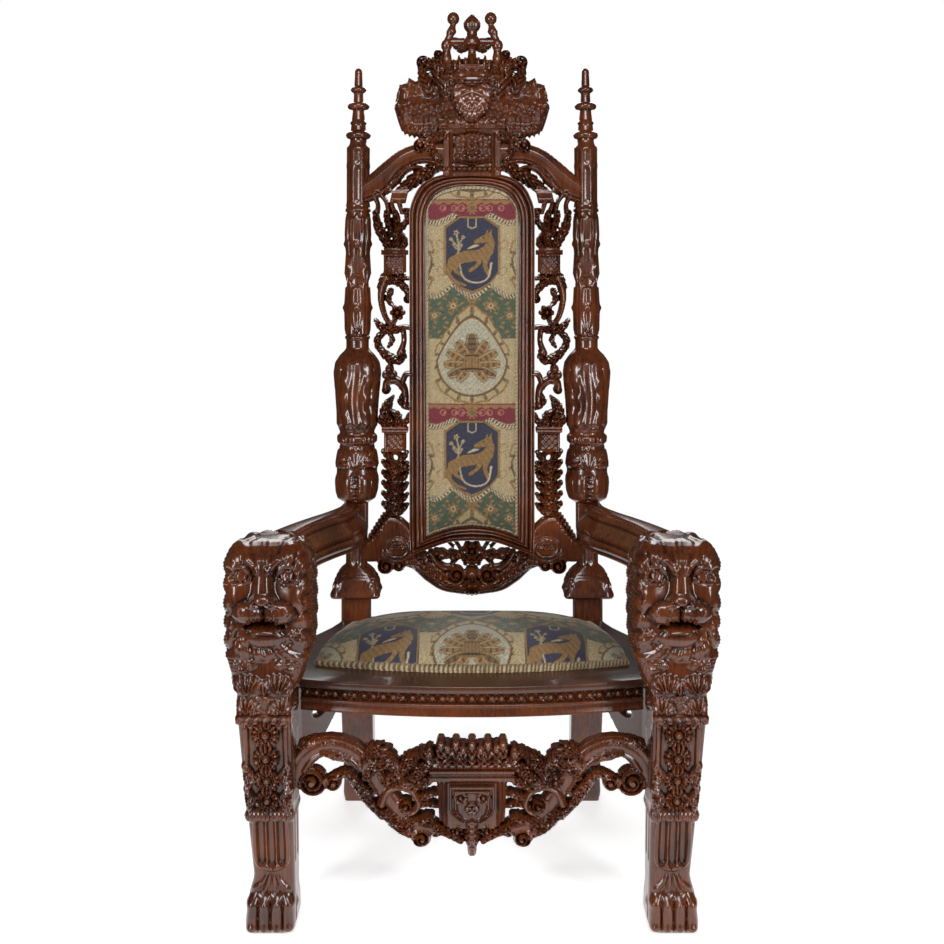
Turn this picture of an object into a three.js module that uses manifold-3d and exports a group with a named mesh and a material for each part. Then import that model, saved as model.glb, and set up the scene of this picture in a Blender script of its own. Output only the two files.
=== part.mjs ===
import * as THREE from 'three';
import { mergeVertices } from 'three/addons/utils/BufferGeometryUtils.js';
import Module from 'manifold-3d';

const wasm = await Module();
wasm.setup();

// Carved throne. Millimetres, +Z up, +X right, front towards -Y.
// Depths are written from the front of the front paws and moved to the middle at the end.

// ---- Driving dimensions ----
const MID_DEPTH = 360.22; // depth of the middle of the chair's footprint box
const SEAT = 476; // top of the seat board
const BOARD = 16; // thickness of the seat board
const GAP = 0.3; // what touching pieces keep between them
const LEAN = Math.tan(THREE.MathUtils.degToRad(7)); // the back leans back 7 degrees
const BACK_FRONT = 528; // depth of the back's front plane at seat height
const POST_AXIS = 30; // how far behind that plane the posts' axis runs
const POST_X = 269; // half the distance between the post axes at the seat
const SPLAY = 0.00835; // how much a post comes inwards for each millimetre up
const KICK = 77; // how far the rear foot stands behind the seat's rear corner
const ARM_TOP = 745; // height of the armrests
const LEG_INNER = 341; // inner side of the front legs at the rail
const LEG_REAR = 130; // depth of the back of the front legs at the board
const HEAD_REAR = 149; // depth of the flat back of the lion heads
const POST_HALF = 32; // half the square block of a post at the seat

const WOOD = 0x5f2815;
const CLOTH = 0xb9a06b;

// ---- Bodies ----
function shell(points, faces) {
  let volume = 0;
  for (let i = 0; i < faces.length; i += 3) {
    const [a, b, c] = [points[faces[i]], points[faces[i + 1]], points[faces[i + 2]]];
    volume += a[0] * (b[1] * c[2] - b[2] * c[1]) - a[1] * (b[0] * c[2] - b[2] * c[0]);
    volume += a[2] * (b[0] * c[1] - b[1] * c[0]);
  }
  if (volume < 0) faces.reverse();
  const g = new THREE.BufferGeometry();
  g.setAttribute('position', new THREE.Float32BufferAttribute(points.flat(), 3));
  g.setIndex(faces);
  return g;
}

const wall = (a, b, n) => {
  const faces = [];
  for (let j = 0; j < n; j++) {
    const k = (j + 1) % n;
    faces.push(a + j, a + k, b + k, a + j, b + k, b + j);
  }
  return faces;
};

// A closed body through rings of [x, y, z], flat at its ends; an apex closes it in a point.
function loft(rings, apex) {
  const n = rings[0].length;
  const last = (rings.length - 1) * n;
  const points = rings.flat();
  const faces = rings.slice(1).flatMap((_, i) => wall(i * n, (i + 1) * n, n));
  for (let j = 1; j + 1 < n; j++) faces.push(0, j + 1, j);
  if (apex) points.push(apex);
  for (let j = apex ? 0 : 1; apex ? j < n : j + 1 < n; j++) {
    faces.push(apex ? points.length - 1 : last, last + j, last + ((j + 1) % n));
  }
  return shell(points, faces);
}

// A body that closes on itself through a list of rings, like a picture frame.
function hoop(rings) {
  const n = rings[0].length;
  return shell(rings.flat(), rings.flatMap((_, i) => wall(i * n, ((i + 1) % rings.length) * n, n)));
}

function toSolid(geometry) {
  const bare = geometry.clone();
  bare.deleteAttribute('normal');
  bare.deleteAttribute('uv');
  const welded = mergeVertices(bare, 1e-4);
  return new wasm.Manifold(new wasm.Mesh({
    numProp: 3,
    vertProperties: Float32Array.from(welded.attributes.position.array),
    triVerts: Uint32Array.from(welded.index.array),
  }));
}

function toGeometry(body) {
  const mesh = body.getMesh();
  const g = new THREE.BufferGeometry();
  g.setAttribute('position', new THREE.Float32BufferAttribute(mesh.vertProperties, 3));
  g.setIndex(Array.from(mesh.triVerts));
  return g;
}

const join = (parts) =>
  toGeometry(parts.map(toSolid).reduce((sum, part) => sum.add(part)));

const cut = (whole, parts) =>
  toGeometry(parts.map(toSolid).reduce((rest, part) => rest.subtract(part), toSolid(whole)));

function mirror(geometry) {
  const g = geometry.clone().scale(-1, 1, 1);
  const index = Array.from(g.index.array).reverse();
  g.setIndex(index);
  return g;
}

const both = (parts) => [...parts, ...parts.map(mirror)];

function box(x0, x1, y0, y1, z0, z1) {
  const ring = (z) => [[x0, y0, z], [x1, y0, z], [x1, y1, z], [x0, y1, z]];
  return loft([ring(z0), ring(z1)]);
}

// A faceted ellipsoid; detail 0 has 20 faces and detail 1 has 80.
function ball(x, y, z, rx, ry, rz, detail = 0) {
  const g = new THREE.IcosahedronGeometry(1, detail).scale(rx, ry, rz).translate(x, y, z);
  return mergeVertices(g.deleteAttribute('normal').deleteAttribute('uv'), 1e-4);
}

// A rounded rectangle at height z; a larger power gives squarer corners.
function squareRing(cx, cy, halfX, halfY, z, sides, power, wave = () => 1) {
  const ring = [];
  for (let j = 0; j < sides; j++) {
    const a = ((j + 0.5) / sides) * 2 * Math.PI;
    const c = Math.cos(a);
    const s = Math.sin(a);
    const w = wave(j, c, s);
    ring.push([
      cx + w * halfX * Math.sign(c) * Math.abs(c) ** (2 / power),
      cy + w * halfY * Math.sign(s) * Math.abs(s) ** (2 / power),
      z,
    ]);
  }
  return ring;
}

function along(values, t) {
  const f = t * (values.length - 1);
  const i = Math.min(Math.floor(f), values.length - 2);
  return values[i] + (values[i + 1] - values[i]) * (f - i);
}

// Places along a smooth path of [x, z], each with its direction.
function places(path, steps) {
  const curve = new THREE.CatmullRomCurve3(path.map(([x, z]) => new THREE.Vector3(x, 0, z)));
  return Array.from({ length: steps + 1 }, (_, i) => {
    const t = i / steps;
    return [curve.getPoint(t), curve.getTangent(t), t];
  });
}

// A carved strand: a flat back, and a sharp spine along the path; halfWidths run along it.
function strand(path, halfWidths, front, back, steps = 2) {
  return loft(places(path, steps).map(([p, d, t]) => {
    const w = along(halfWidths, t);
    return [
      [p.x - d.z * w, back, p.z + d.x * w],
      [p.x, back + (front - back) * Math.min(1, w / 4), p.z],
      [p.x + d.z * w, back, p.z - d.x * w],
    ];
  }));
}

// A scroll's stem: a flat band along the path, square at its edges.
function stem(path, halfWidths, front, back, steps) {
  return loft(places(path, steps).map(([p, d, t]) => {
    const w = along(halfWidths, t);
    const side = (k, y) => [p.x + k * d.z * w, y, p.z - k * d.x * w];
    return [side(-1, back), side(-0.6, front), side(0.6, front), side(1, back)];
  }));
}

const circle = (x, z, r, y, sides, notch = 1) => Array.from({ length: sides }, (_, j) => {
  const a = (j / sides) * 2 * Math.PI;
  const q = j % 2 ? r * notch : r;
  return [x + q * Math.cos(a), y, z + q * Math.sin(a)];
});

// A round boss facing the front: a disc whose face rises to its eye.
function boss(x, z, r, front, back, sides = 6, rise = 6) {
  const rim = (y) => circle(x, z, r, y, sides);
  return loft([rim(back), rim(front + rise)], [x, front, z]);
}

// A flower facing the front: petals that rise to the eye.
function rosette(x, z, r, front, back, petals = 4) {
  const rim = (y) => circle(x, z, r, y, petals * 2, 0.78);
  return loft([rim(back), rim(front + 7)], [x, front, z]);
}

// A board cut to an outline of [x, z], between two depths.
function fret(outline, front, back, holes = []) {
  const path = (points) => points.map(([x, z]) => new THREE.Vector2(x, z));
  const shape = new THREE.Shape(path(outline));
  for (const hole of holes) shape.holes.push(new THREE.Path(path(hole)));
  const g = new THREE.ExtrudeGeometry(shape, { depth: back - front, bevelEnabled: false });
  g.rotateX(Math.PI / 2).translate(0, back, 0);
  return mergeVertices(g.deleteAttribute('normal').deleteAttribute('uv'), 1e-4);
}

// A beam between an upper and a lower edge, given as rows of [x, top, bottom].
function beam(rows, front, back, round) {
  return loft(rows.map(([x, top, bottom]) => [
    [x, front + round, top],
    [x, front, top - round],
    [x, front, bottom + round],
    [x, front + round, bottom],
    [x, back, bottom],
    [x, back, top],
  ]));
}

// Leans a body of the back: its depth 0 becomes the back's front plane.
function lean(geometry) {
  const g = geometry.clone();
  const p = g.attributes.position;
  for (let i = 0; i < p.count; i++) {
    p.setY(i, p.getY(i) + BACK_FRONT + LEAN * (p.getZ(i) - SEAT));
  }
  return g;
}

// ---- Rear posts: each is one timber from the foot to the finial ----
const postX = (z) => POST_X - SPLAY * (z - SEAT);
const postY = (z) => {
  if (z >= SEAT) return BACK_FRONT + POST_AXIS + LEAN * (z - SEAT);
  return BACK_FRONT + POST_AXIS + KICK * (1 - z / SEAT) ** 1.6;
};

const POST_SIDES = 8;
// Height, radius and depth of the flutes, from the short column under the arm to the tip.
const POST_TURNING = [
  [590, 24, 0.1], [738, 24, 0.1],
  [745, 36, 0.1], [769, 48, 0.1], [815, 48, 0.06], [878, 42, 0],
  [898, 46, 0], [912, 42, 0.14], [975, 47, 0.14],
  [1040, 52, 0.08], [1093, 27, 0],
  [1118, 28, 0], [1130, 24.7, 0.1], [1189, 29, 0.14], [1235, 24, 0], [1264, 29, 0.14], [1310, 24.6, 0],
  [1352, 29, 0.14], [1396, 25, 0], [1407, 29, 0],
  [1418, 27, 0.12], [1498, 27, 0.12], [1546, 27.5, 0], [1558, 20, 0],
  [1577, 28.3, 0], [1592, 17, 0], [1629, 13, 0],
  [1639, 25, 0], [1656, 11, 0], [1676, 18, 0], [1688, 9.5, 0],
  [1720, 8.5, 0], [1726, 4, 0],
];
// Height, half width, half depth and how square the section is, up to the bell cap's top.
const POST_SHAFT = [
  [0, 36, 34, 6], [24, 39, 37, 6], [60, 36, 33, 8], [250, 37, 33, 8],
  [455, POST_HALF, POST_HALF, 12], [528, POST_HALF, POST_HALF, 12],
  [528.5, 56, 45, 6], [560, 52, 41, 5], [597, 34, 27, 3],
];
const CORE = { inner: 44, outer: 8, rear: 30, bottom: 745, top: 960 };

function rearPost(swell) {
  const column = loft(POST_TURNING.map(([z, r, flute]) =>
    squareRing(postX(z), postY(z), r + swell, r + swell, z, POST_SIDES, 2, (j) =>
      (j % 2 ? 1 - flute : 1))));
  const shaft = loft(POST_SHAFT.map(([z, a, b, power]) =>
    squareRing(postX(z), postY(z), a + swell, b + swell, z, 8, power)));
  const armBlock = loft([676 - swell, 741 + swell].map((z) => [
    [postX(z) - 25 - swell, postY(z) - 26 - swell, z],
    [postX(z) + 25 + swell, postY(z) - 26 - swell, z],
    [postX(z) + 25 + swell, postY(z) + 20 + swell, z],
    [postX(z) - 25 - swell, postY(z) + 20 + swell, z],
  ]));
  const core = loft([CORE.bottom, CORE.top].map((z) => [
    [postX(z) - CORE.inner, postY(z) - 6, z],
    [postX(z) + CORE.outer, postY(z) - 6, z],
    [postX(z) + CORE.outer, postY(z) + CORE.rear, z],
    [postX(z) - CORE.inner, postY(z) + CORE.rear, z],
  ]));
  const scroll = ball(postX(440) + 36, postY(440) - 8, 430, 11, 20, 26);
  return join([shaft, column, armBlock, core, scroll]);
}

// ---- Front legs: paw, shin, panel, capital and lion head, carved from one timber ----
// Height, inner side, outer side, front, rear and how square the section is.
const LEG_ROWS = [
  [0, 350, 438, 8, 108, 6], [16, 344, 443, 4, 112, 6], [46, 344, 440, 8, 112, 6],
  [84, 345, 432, 16, 106, 6], [112, 345, 425, 23, 104, 8], [226, 344, 431, 18, 108, 8],
  [236, 342, 435, 9, 110, 8], [250, 343, 434, 15, 112, 8],
  [424, 342, 444, 14, 120, 8], [431, LEG_INNER, 448, 5, 124, 8],
  [447, LEG_INNER, 445, 13, 126, 8],
  [484, LEG_INNER, 444, 12, 128, 8], [499, 334, 449, 3, 132, 7], [522, 328, 446, 12, 136, 6],
  [556, 330, 446, 20, 140, 5],
];
// The same for the lion's head, whose sides are waved in and out as the mane.
const HEAD_ROWS = [
  [520, 330, 444, 18, 132, 5], [548, 312, 465, 14, 144, 5], [580, 307, 466, 12, HEAD_REAR, 5],
  [614, 304, 464, 11, HEAD_REAR, 5], [650, 303, 464, 9, HEAD_REAR, 5],
  [692, 303, 462, 10, HEAD_REAR, 5], [735, 305, 461, 14, HEAD_REAR, 5],
  [762, 328, 438, 40, HEAD_REAR - 6, 4],
];
const MANE = 0.07; // depth of the locks, as a share of the head's half width
const ROSETTES = [[417, 28], [369, 26], [326, 25], [285, 24]]; // height and radius
const LEG_FACE_X = 391;
const FLUTE = { radius: 10, bottom: 138, top: 222, x: [363, 387, 411], depth: 16 };
const TOES = [357, 380, 403, 427];

function sideRing([z, inner, outer, front, rear, power], sides, wave) {
  return squareRing((inner + outer) / 2, (front + rear) / 2, (outer - inner) / 2,
    (rear - front) / 2, z, sides, power, wave);
}

function frontLeg() {
  const timber = loft(LEG_ROWS.map((row) => sideRing(row, 8)));
  const head = loft(HEAD_ROWS.map((row, i) => sideRing(row, 12, (j, c, s) =>
    (Math.abs(s) < 0.8 && (i + j) % 2 ? 1 - MANE : 1))));
  const toes = TOES.map((x) => ball(x, 14, 23, 13.5, 15, 24));
  const flowers = ROSETTES.map(([z, r]) => rosette(LEG_FACE_X, z, r, 3, 24));
  const face = [
    ball(393, 6, 640, 48, 28, 38),
    ball(387, 8, 690, 25, 22, 50),
    ball(431, 16, 728, 28, 15, 15),
    ball(342, 16, 728, 28, 15, 15),
    ball(444, 44, 760, 19, 16, 15),
    ball(323, 44, 758, 18, 16, 14),
    strand([[387, 712], [386, 744], [384, 772]], [3, 22, 6], 4, 60, 2),
  ];
  const grooves = FLUTE.x.map((x) => {
    const g = new THREE.CylinderGeometry(FLUTE.radius, FLUTE.radius, FLUTE.top - FLUTE.bottom, 6);
    return g.rotateX(Math.PI / 2).translate(x, FLUTE.depth, (FLUTE.top + FLUTE.bottom) / 2);
  });
  const mouth = box(368, 418, -30, -8, 620, 627);
  return cut(join([timber, head, ...toes, ...flowers, ...face]), [...grooves, mouth]);
}

// ---- Armrests: S-shaped in plan, from the post's front to the back of the head ----
// Each row is a place along the arm: outer x and depth, inner x and depth, at the top.
const ARM_ROWS = [
  [302, 566, 240, 560], [310, 508, 250, 500], [360, 400, 292, 396], [412, 270, 339, 268], [446, HEAD_REAR + GAP, 345, HEAD_REAR + GAP],
];
// Across the arm from its outer edge (0) to its inner edge (1), with the height.
const ARM_SECTION = [
  [0.04, 668], [0, 730], [0.3, ARM_TOP], [0.72, 738], [0.96, 698], [1, 684], [0.88, 655],
  [0.3, 655],
];

function armrest(post) {
  const body = loft(ARM_ROWS.map(([x0, y0, x1, y1]) =>
    ARM_SECTION.map(([t, z]) => [x0 + (x1 - x0) * t, y0 + (y1 - y0) * t, z])));
  const behind = loft([600, 800].map((z) => {
    const y = postY(z) - 25;
    return [[200, y, z], [340, y, z], [340, y + 200, z], [200, y + 200, z]];
  }));
  return cut(body, [behind, post]);
}

// ---- Seat board, its rails and aprons ----
const SEAT_BOW = 44; // how far the front edge comes forwards at the middle
const BOARD_FRONT = 122; // depth of the board's front edge at the legs
const SEAT_REAR = 562;
const bow = (x, edge) => edge - SEAT_BOW * (1 - (x / LEG_INNER) ** 2);
// The board's side edge, from behind the leg to the post: x and depth.
const SIDE_EDGE = [
  [442, LEG_REAR + GAP + 3], [436, 180], [422, 240], [396, 312], [347, 414], [318, 472],
  [303, 516],
];
const spread = (count) => Array.from({ length: count }, (_, i) => (2 * i) / (count - 1) - 1);

function slab(outline, bottom, top) {
  const shape = new THREE.Shape(outline.map(([x, y]) => new THREE.Vector2(x, y)));
  const g = new THREE.ExtrudeGeometry(shape, { depth: top - bottom, bevelEnabled: false });
  g.translate(0, 0, bottom);
  return mergeVertices(g.deleteAttribute('normal').deleteAttribute('uv'), 1e-4);
}

function seatBoard() {
  const edge = LEG_INNER - GAP - 1;
  const front = spread(9).map((t) => [edge * t, bow(edge * t, BOARD_FRONT)]);
  const postInner = postX(SEAT) - POST_HALF - GAP - 0.2;
  const postFront = BACK_FRONT - 2 - GAP - 0.4;
  const right = [
    [edge, LEG_REAR + GAP + 3], ...SIDE_EDGE, [303, postFront],
    [postInner, postFront], [postInner, SEAT_REAR],
  ];
  const left = right.map(([x, y]) => [-x, y]).reverse();
  return slab([...front, ...right, ...left], SEAT - BOARD, SEAT);
}

const RAIL = { top: SEAT - BOARD - GAP, bead: 437, bottom: 412, thick: 26, inset: 4 };
const BEADS = 35;

function frontRail() {
  const end = LEG_INNER - GAP - 1;
  const body = loft(spread(7).map((t) => {
    const x = end * t;
    const y = bow(x, BOARD_FRONT) + RAIL.inset;
    return [
      [x, y + 5, RAIL.top], [x, y + 5, RAIL.bead + 1], [x, y, RAIL.bead],
      [x, y, RAIL.bottom],
      [x, y + RAIL.thick, RAIL.bottom], [x, y + RAIL.thick, RAIL.top],
    ];
  }));
  const beads = spread(BEADS).map((t) => {
    const x = (end - 12) * t;
    const y = bow(x, BOARD_FRONT) + RAIL.inset;
    return loft([circle(x, 448.5, 11.5, y + 9, 5)], [x, y - 3, 448.5]);
  });
  return join([body, ...beads]);
}

const SIDE_RAIL = { inset: 9, thick: 24, bottom: 398 };
// Lower edge of the side apron: depth and height, from the front leg to the post.
const APRON_EDGE = [
  [134, 232], [170, 228], [206, 252], [250, 236], [292, 258], [336, 240], [392, 244],
  [420, 276], [452, 290], [478, 342], [523, 376],
];
const APRON_HOLES = [[212, 310, 24, 16], [350, 312, 26, 20]];

// Where the side rail's outer face runs: x at a depth.
function sideX(y) {
  for (let i = 1; i < SIDE_EDGE.length; i++) {
    const [x0, y0] = SIDE_EDGE[i - 1];
    const [x1, y1] = SIDE_EDGE[i];
    if (y <= y1) return x0 + ((x1 - x0) * Math.max(0, y - y0)) / (y1 - y0);
  }
  return SIDE_EDGE.at(-1)[0] - (y - SIDE_EDGE.at(-1)[1]) * 0.5;
}

const RAIL_START = LEG_REAR + GAP + 3;
const RAIL_END = BACK_FRONT - 4;

function sideRail() {
  const depths = [RAIL_START, 240, 312, 414, RAIL_END];
  return loft(depths.map((y) => {
    const x = sideX(y) - SIDE_RAIL.inset;
    return [
      [x, y, RAIL.top], [x + 4, y, 434], [x, y, SIDE_RAIL.bottom], [x - SIDE_RAIL.thick, y, SIDE_RAIL.bottom],
      [x - SIDE_RAIL.thick, y, RAIL.top],
    ];
  }));
}

function sideApron() {
  const top = SIDE_RAIL.bottom - GAP;
  const outline = [...APRON_EDGE, [RAIL_END, top], [RAIL_START, top]];
  const shape = new THREE.Shape(outline.map(([y, z]) => new THREE.Vector2(y, z)));
  for (const [y, z, a, b] of APRON_HOLES) {
    const hole = new THREE.Path();
    hole.setFromPoints([0, 1, 2, 3, 4].map((k) =>
      new THREE.Vector2(y + a * Math.cos(k * 0.4 * Math.PI), z + b * Math.sin(k * 0.4 * Math.PI))));
    shape.holes.push(hole);
  }
  const g = new THREE.ExtrudeGeometry(shape, { depth: 18, bevelEnabled: false });
  const flat = mergeVertices(g.deleteAttribute('normal').deleteAttribute('uv'), 1e-4);
  const p = flat.attributes.position;
  for (let i = 0; i < p.count; i++) {
    const y = p.getX(i);
    p.setXYZ(i, sideX(y) - SIDE_RAIL.inset - 21 + p.getZ(i), y, p.getY(i));
  }
  return flat;
}

function rearRail() {
  const x = postX(430) - 38 - GAP - 0.4;
  return box(-x, x, 540, 562, 412, RAIL.top);
}

// ---- Cushion, lying loose on the board ----
const CUSHION = {
  front: 204, bow: 46, rear: 486, frontHalf: 322, rearHalf: 272, edge: 30, crown: 62,
};

function cushion() {
  const outline = [
    ...spread(8).map((t) => [CUSHION.frontHalf * t, CUSHION.front - CUSHION.bow * (1 - t * t)]),
    [296, 370],
    ...spread(4).map((t) => [-CUSHION.rearHalf * t, CUSHION.rear + 10 * (1 - t * t)]),
    [-296, 370],
  ];
  const middle = (CUSHION.front + CUSHION.rear) / 2;
  const ring = (k, z) => outline.map(([x, y]) => [x * k, middle + (y - middle) * k, z]);
  const floor = SEAT + GAP;
  return loft([
    ring(0.95, floor), ring(1, floor + 14), ring(0.94, floor + CUSHION.edge),
    ring(0.6, floor + 56), ring(0.2, floor + CUSHION.crown),
  ]);
}

// ---- Front stretcher: pierced scrolls each side of a crowned shield ----
const STRETCHER = { front: 52, back: 88 };

function frontStretcher() {
  const { front, back } = STRETCHER;
  const half = [
    // the main arm: from the leg over its arch and down beside the shield
    stem([[340, 296], [316, 346], [268, 362], [216, 342], [170, 262], [112, 194], [50, 204]],
      [30, 27, 22, 20, 22, 22, 22], front + 4, back, 6),
    // the volutes under the arch
    boss(309, 291, 28, front, back - 4, 7, 9),
    boss(268, 288, 16, front + 2, back - 6),
    strand([[264, 292], [236, 292], [190, 228]], [9, 12, 12], front + 4, back - 6, 2),
    // leaves towards the crown
    strand([[205, 318], [168, 342], [128, 304]], [6, 20, 12], front, back - 6, 2),
    strand([[150, 290], [112, 332], [66, 290]], [8, 26, 14], front, back - 6, 2),
    // the inner scroll, its eye and the leaf under it
    strand([[172, 250], [136, 278], [60, 262]], [12, 12, 10], front + 2, back - 6, 2),
    boss(124, 236, 16, front, back - 6),
    boss(98, 171, 17, front - 2, back - 6),
    // the crown's outer lobe
    strand([[56, 322], [104, 358]], [18, 6], front - 2, back - 6, 1),
  ];
  const crown = [[0, 378], [29, 367], [58, 377]].map(([x, top]) =>
    strand([[x, 318], [x, 348], [x * 1.04, top]], [15, 18, 7], front - 6, back - 4, 2));
  const panel = [
    ...crown, mirror(crown[1]), mirror(crown[2]),
    fret([[-69, 310], [69, 310], [66, 200], [-66, 200]], front, back),
    box(-76, 76, front - 8, back - 1, 297, 324),
    fret([[-44, 284], [44, 284], [40, 226], [0, 206], [-40, 226]], front - 6, back - 12),
    strand([[0, 214], [0, 143]], [60, 6], front - 2, back - 4, 1),
  ];
  const legSide = box(LEG_INNER - 1 - GAP, 390, 0, 200, 100, 450);
  return cut(join([...both(half), ...panel]), both([legSide]));
}

// ---- Back frame: an arched moulded frame round the upholstery ----
// Outer [x, z] and inner [x, z], from the middle of the bottom rail up one side.
const FRAME_ROWS = [
  [0, 657, 0, 689], [62, 652, 58, 682], [144, 622, 108, 662],
  [142, 1384, 108, 1388], [134, 1432, 98, 1425], [102, 1473, 66, 1453],
  [52, 1489, 32, 1462], [0, 1490, 0, 1463],
];
const FRAME_BACK = 48;
// Across the moulding from the outer edge (0) to the inner edge (1), with the depth.
const FRAME_SECTION = [
  [0, FRAME_BACK], [0, 8], [0.26, 4], [0.46, 12], [0.62, 8], [1, 17], [1, FRAME_BACK],
];
const frameLoop = (rows) => [
  ...rows,
  ...rows.slice(1, -1).reverse().map(([ox, oz, ix, iz]) => [-ox, oz, -ix, iz]),
];

function backFrame() {
  const rings = frameLoop(FRAME_ROWS).map(([ox, oz, ix, iz]) =>
    FRAME_SECTION.map(([t, y]) => [ox + (ix - ox) * t, y, oz + (iz - oz) * t]));
  return lean(hoop(rings));
}

// A plug that fills the frame's outline grown by the gap, for trimming what touches it.
function framePlug() {
  const outline = frameLoop(FRAME_ROWS).map(([x, z]) => {
    const low = z < 700;
    return [x + Math.sign(x) * (GAP + 0.2), z + (low ? -GAP - 0.2 : (z > 1380 ? GAP + 0.2 : 0))];
  });
  return fret(outline, -40, 90);
}

const inner = (shrink) => frameLoop(FRAME_ROWS).map(([, , ix, iz]) => {
  const middle = 1060;
  return [ix * (1 - shrink / 108), middle + (iz - middle) * (1 - shrink / 400)];
});

function backPad() {
  const ring = (shrink, y) => inner(shrink).map(([x, z]) => [x, y, z]);
  return lean(loft([ring(0.8, 30), ring(0.8, 17), ring(20, 4), ring(66, 1)]));
}

function backBoard() {
  const ring = (y) => inner(0.8).map(([x, z]) => [x, y, z]);
  return lean(loft([ring(30 + GAP), ring(46)]));
}

// ---- Shoulder rails: from each post up to the crest, with the leafwork under them ----
const YOKE = [
  [-262, 1462, 1420], [-228, 1490, 1428], [-196, 1518, 1448], [-161, 1544, 1490],
  [-118, 1558, 1512], [-67.5, 1560, 1506],
];
const BELL_SPLIT = 1412; // where the leaf stems under the rail meet the pierced strip

function shoulderRail(post, plug) {
  const solid = [
    beam(YOKE, 6, 44, 10),
    strand([[-76, 1508], [-118, 1490], [-166, 1446]], [20, 15, 18], 6, 40, 3),
    boss(-104, 1480, 12, 4, 40, 6),
    fret([[-184, 1449], [-147, 1449], [-152, 1424], [-177, 1424]], 6, 42),
    strand([[-166, 1430], [-168, 1400]], [12, 8], 12, 40, 1),
    strand([[-222, 1440], [-218, 1400]], [8, 8], 12, 40, 1),
    strand([[-198, 1456], [-194, 1400]], [9, 7], 12, 40, 1),
  ];
  const below = box(-240, -100, -20, 80, 1380, BELL_SPLIT + GAP);
  return cut(lean(cut(join(solid), [plug, below])), [post]);
}

// ---- Pierced strips between the posts and the frame ----
// Rows of x, height, half width and half depth: a moulded cap over a square block.
const capRows = (x, top) => [
  [x, top, 29, 18], [x, top - 10, 29, 18], [x, top - 11, 25, 13], [x, top - 48, 25, 13],
];
const leafRing = ([x, z, a, b]) => squareRing(x, 26, a, b, z, 6, 3);

function piercedStrip(plug) {
  const solid = [
    // the leafy bell under the shoulder rail, its cap, block and leaf
    loft([[-187, BELL_SPLIT, 41, 16], [-184, 1372, 38, 17], [-177, 1320, 26, 13],
      ...capRows(-176, 1316), [-182, 1238, 34, 16]].map(leafRing)),
    // upper scrolls, with a flower in the first
    strand([[-196, 1246], [-209, 1202], [-188, 1138]], [11, 9, 9], 10, 40, 3),
    strand([[-176, 1244], [-156, 1232], [-141, 1206]], [12, 12, 8], 10, 39, 2),
    strand([[-220, 1151], [-186, 1140], [-141, 1137]], [4, 14, 8], 10, 40, 2),
    strand([[-162, 1192], [-168, 1172], [-190, 1140]], [7, 17, 7], 8, 39, 2),
    strand([[-206, 1142], [-214, 1106], [-188, 1064]], [9, 9, 12], 12, 40, 2),
    strand([[-162, 1138], [-158, 1104], [-188, 1064]], [8, 8, 12], 12, 39, 2),
    strand([[-188, 1072], [-193, 1030]], [22, 10], 8, 40, 1),
    // lower scroll
    strand([[-194, 1034], [-163, 1008], [-156, 950]], [10, 12, 12], 10, 40, 2),
    strand([[-160, 1008], [-196, 1014], [-202, 950]], [8, 11, 10], 10, 39, 2),
    // the lower leaf, cap and block, and the column of leaves down to the lower rail
    loft([[-179, 962, 31, 12], [-177, 922, 27, 15], ...capRows(-177, 912),
      [-178, 846, 29, 16], [-178, 828, 21, 13], [-178, 808, 28, 17], [-179, 788, 21, 13],
      [-180, 762, 28, 17], [-181, 716, 24, 15]]
      .map(leafRing)),
    strand([[-168, 836], [-141, 822]], [10, 8], 13, 38, 1),
  ];
  return lean(cut(join(solid), [plug]));
}

// ---- Lower back rail: scrolled shoulders, pierced middle ----
function lowerBackRail(posts, plug) {
  const half = [
    // the shoulder from the post, with its boss and the volutes under it
    beam([[-262, 652, 610], [-236, 658, 600], [-206, 702, 590], [-184, 716 - GAP, 618],
      [-150, 700, 598], [-120, 640, 592]], 10, 44, 10),
    ball(-176, 14, 652, 32, 14, 26),
    boss(-199, 598, 19, 4, 40),
    boss(-168, 598, 13, 6, 40),
    // the arm down to the middle, and its scroll
    stem([[-150, 606], [-122, 604], [-82, 572], [-36, 552], [0, 544]], [14, 22, 22, 18, 18], 6, 44, 4),
    boss(-37, 577, 18, 0, 40),
    // leafwork of the pierced middle
    strand([[-84, 590], [-66, 620], [-30, 610]], [9, 14, 8], 8, 40, 2),
    strand([[-36, 584], [28, 668]], [8, 8], 12, 38, 1),
  ];
  const middle = [
    boss(0, 632, 17, 4, 38, 5),
    boss(0, 578, 19, -4, 40),
    strand([[0, 630], [0, 526]], [12, 24], 4, 40, 1),
  ];
  return cut(lean(cut(join([...both(half), ...middle]), [plug])), posts);
}

// ---- Crest: block, shield, coronet, horns and wings, carved as one ----
// The wings, from the middle outwards: x, top, bottom and how far their folds stand out.
const WING = [
  [-30, 1688, 1612, 16], [-66, 1698, 1592, 20], [-108, 1706, 1568, 27],
  [-140, 1700, 1572, 27], [-164, 1680, 1592, 22], [-176, 1650, 1626, 12],
];

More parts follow.
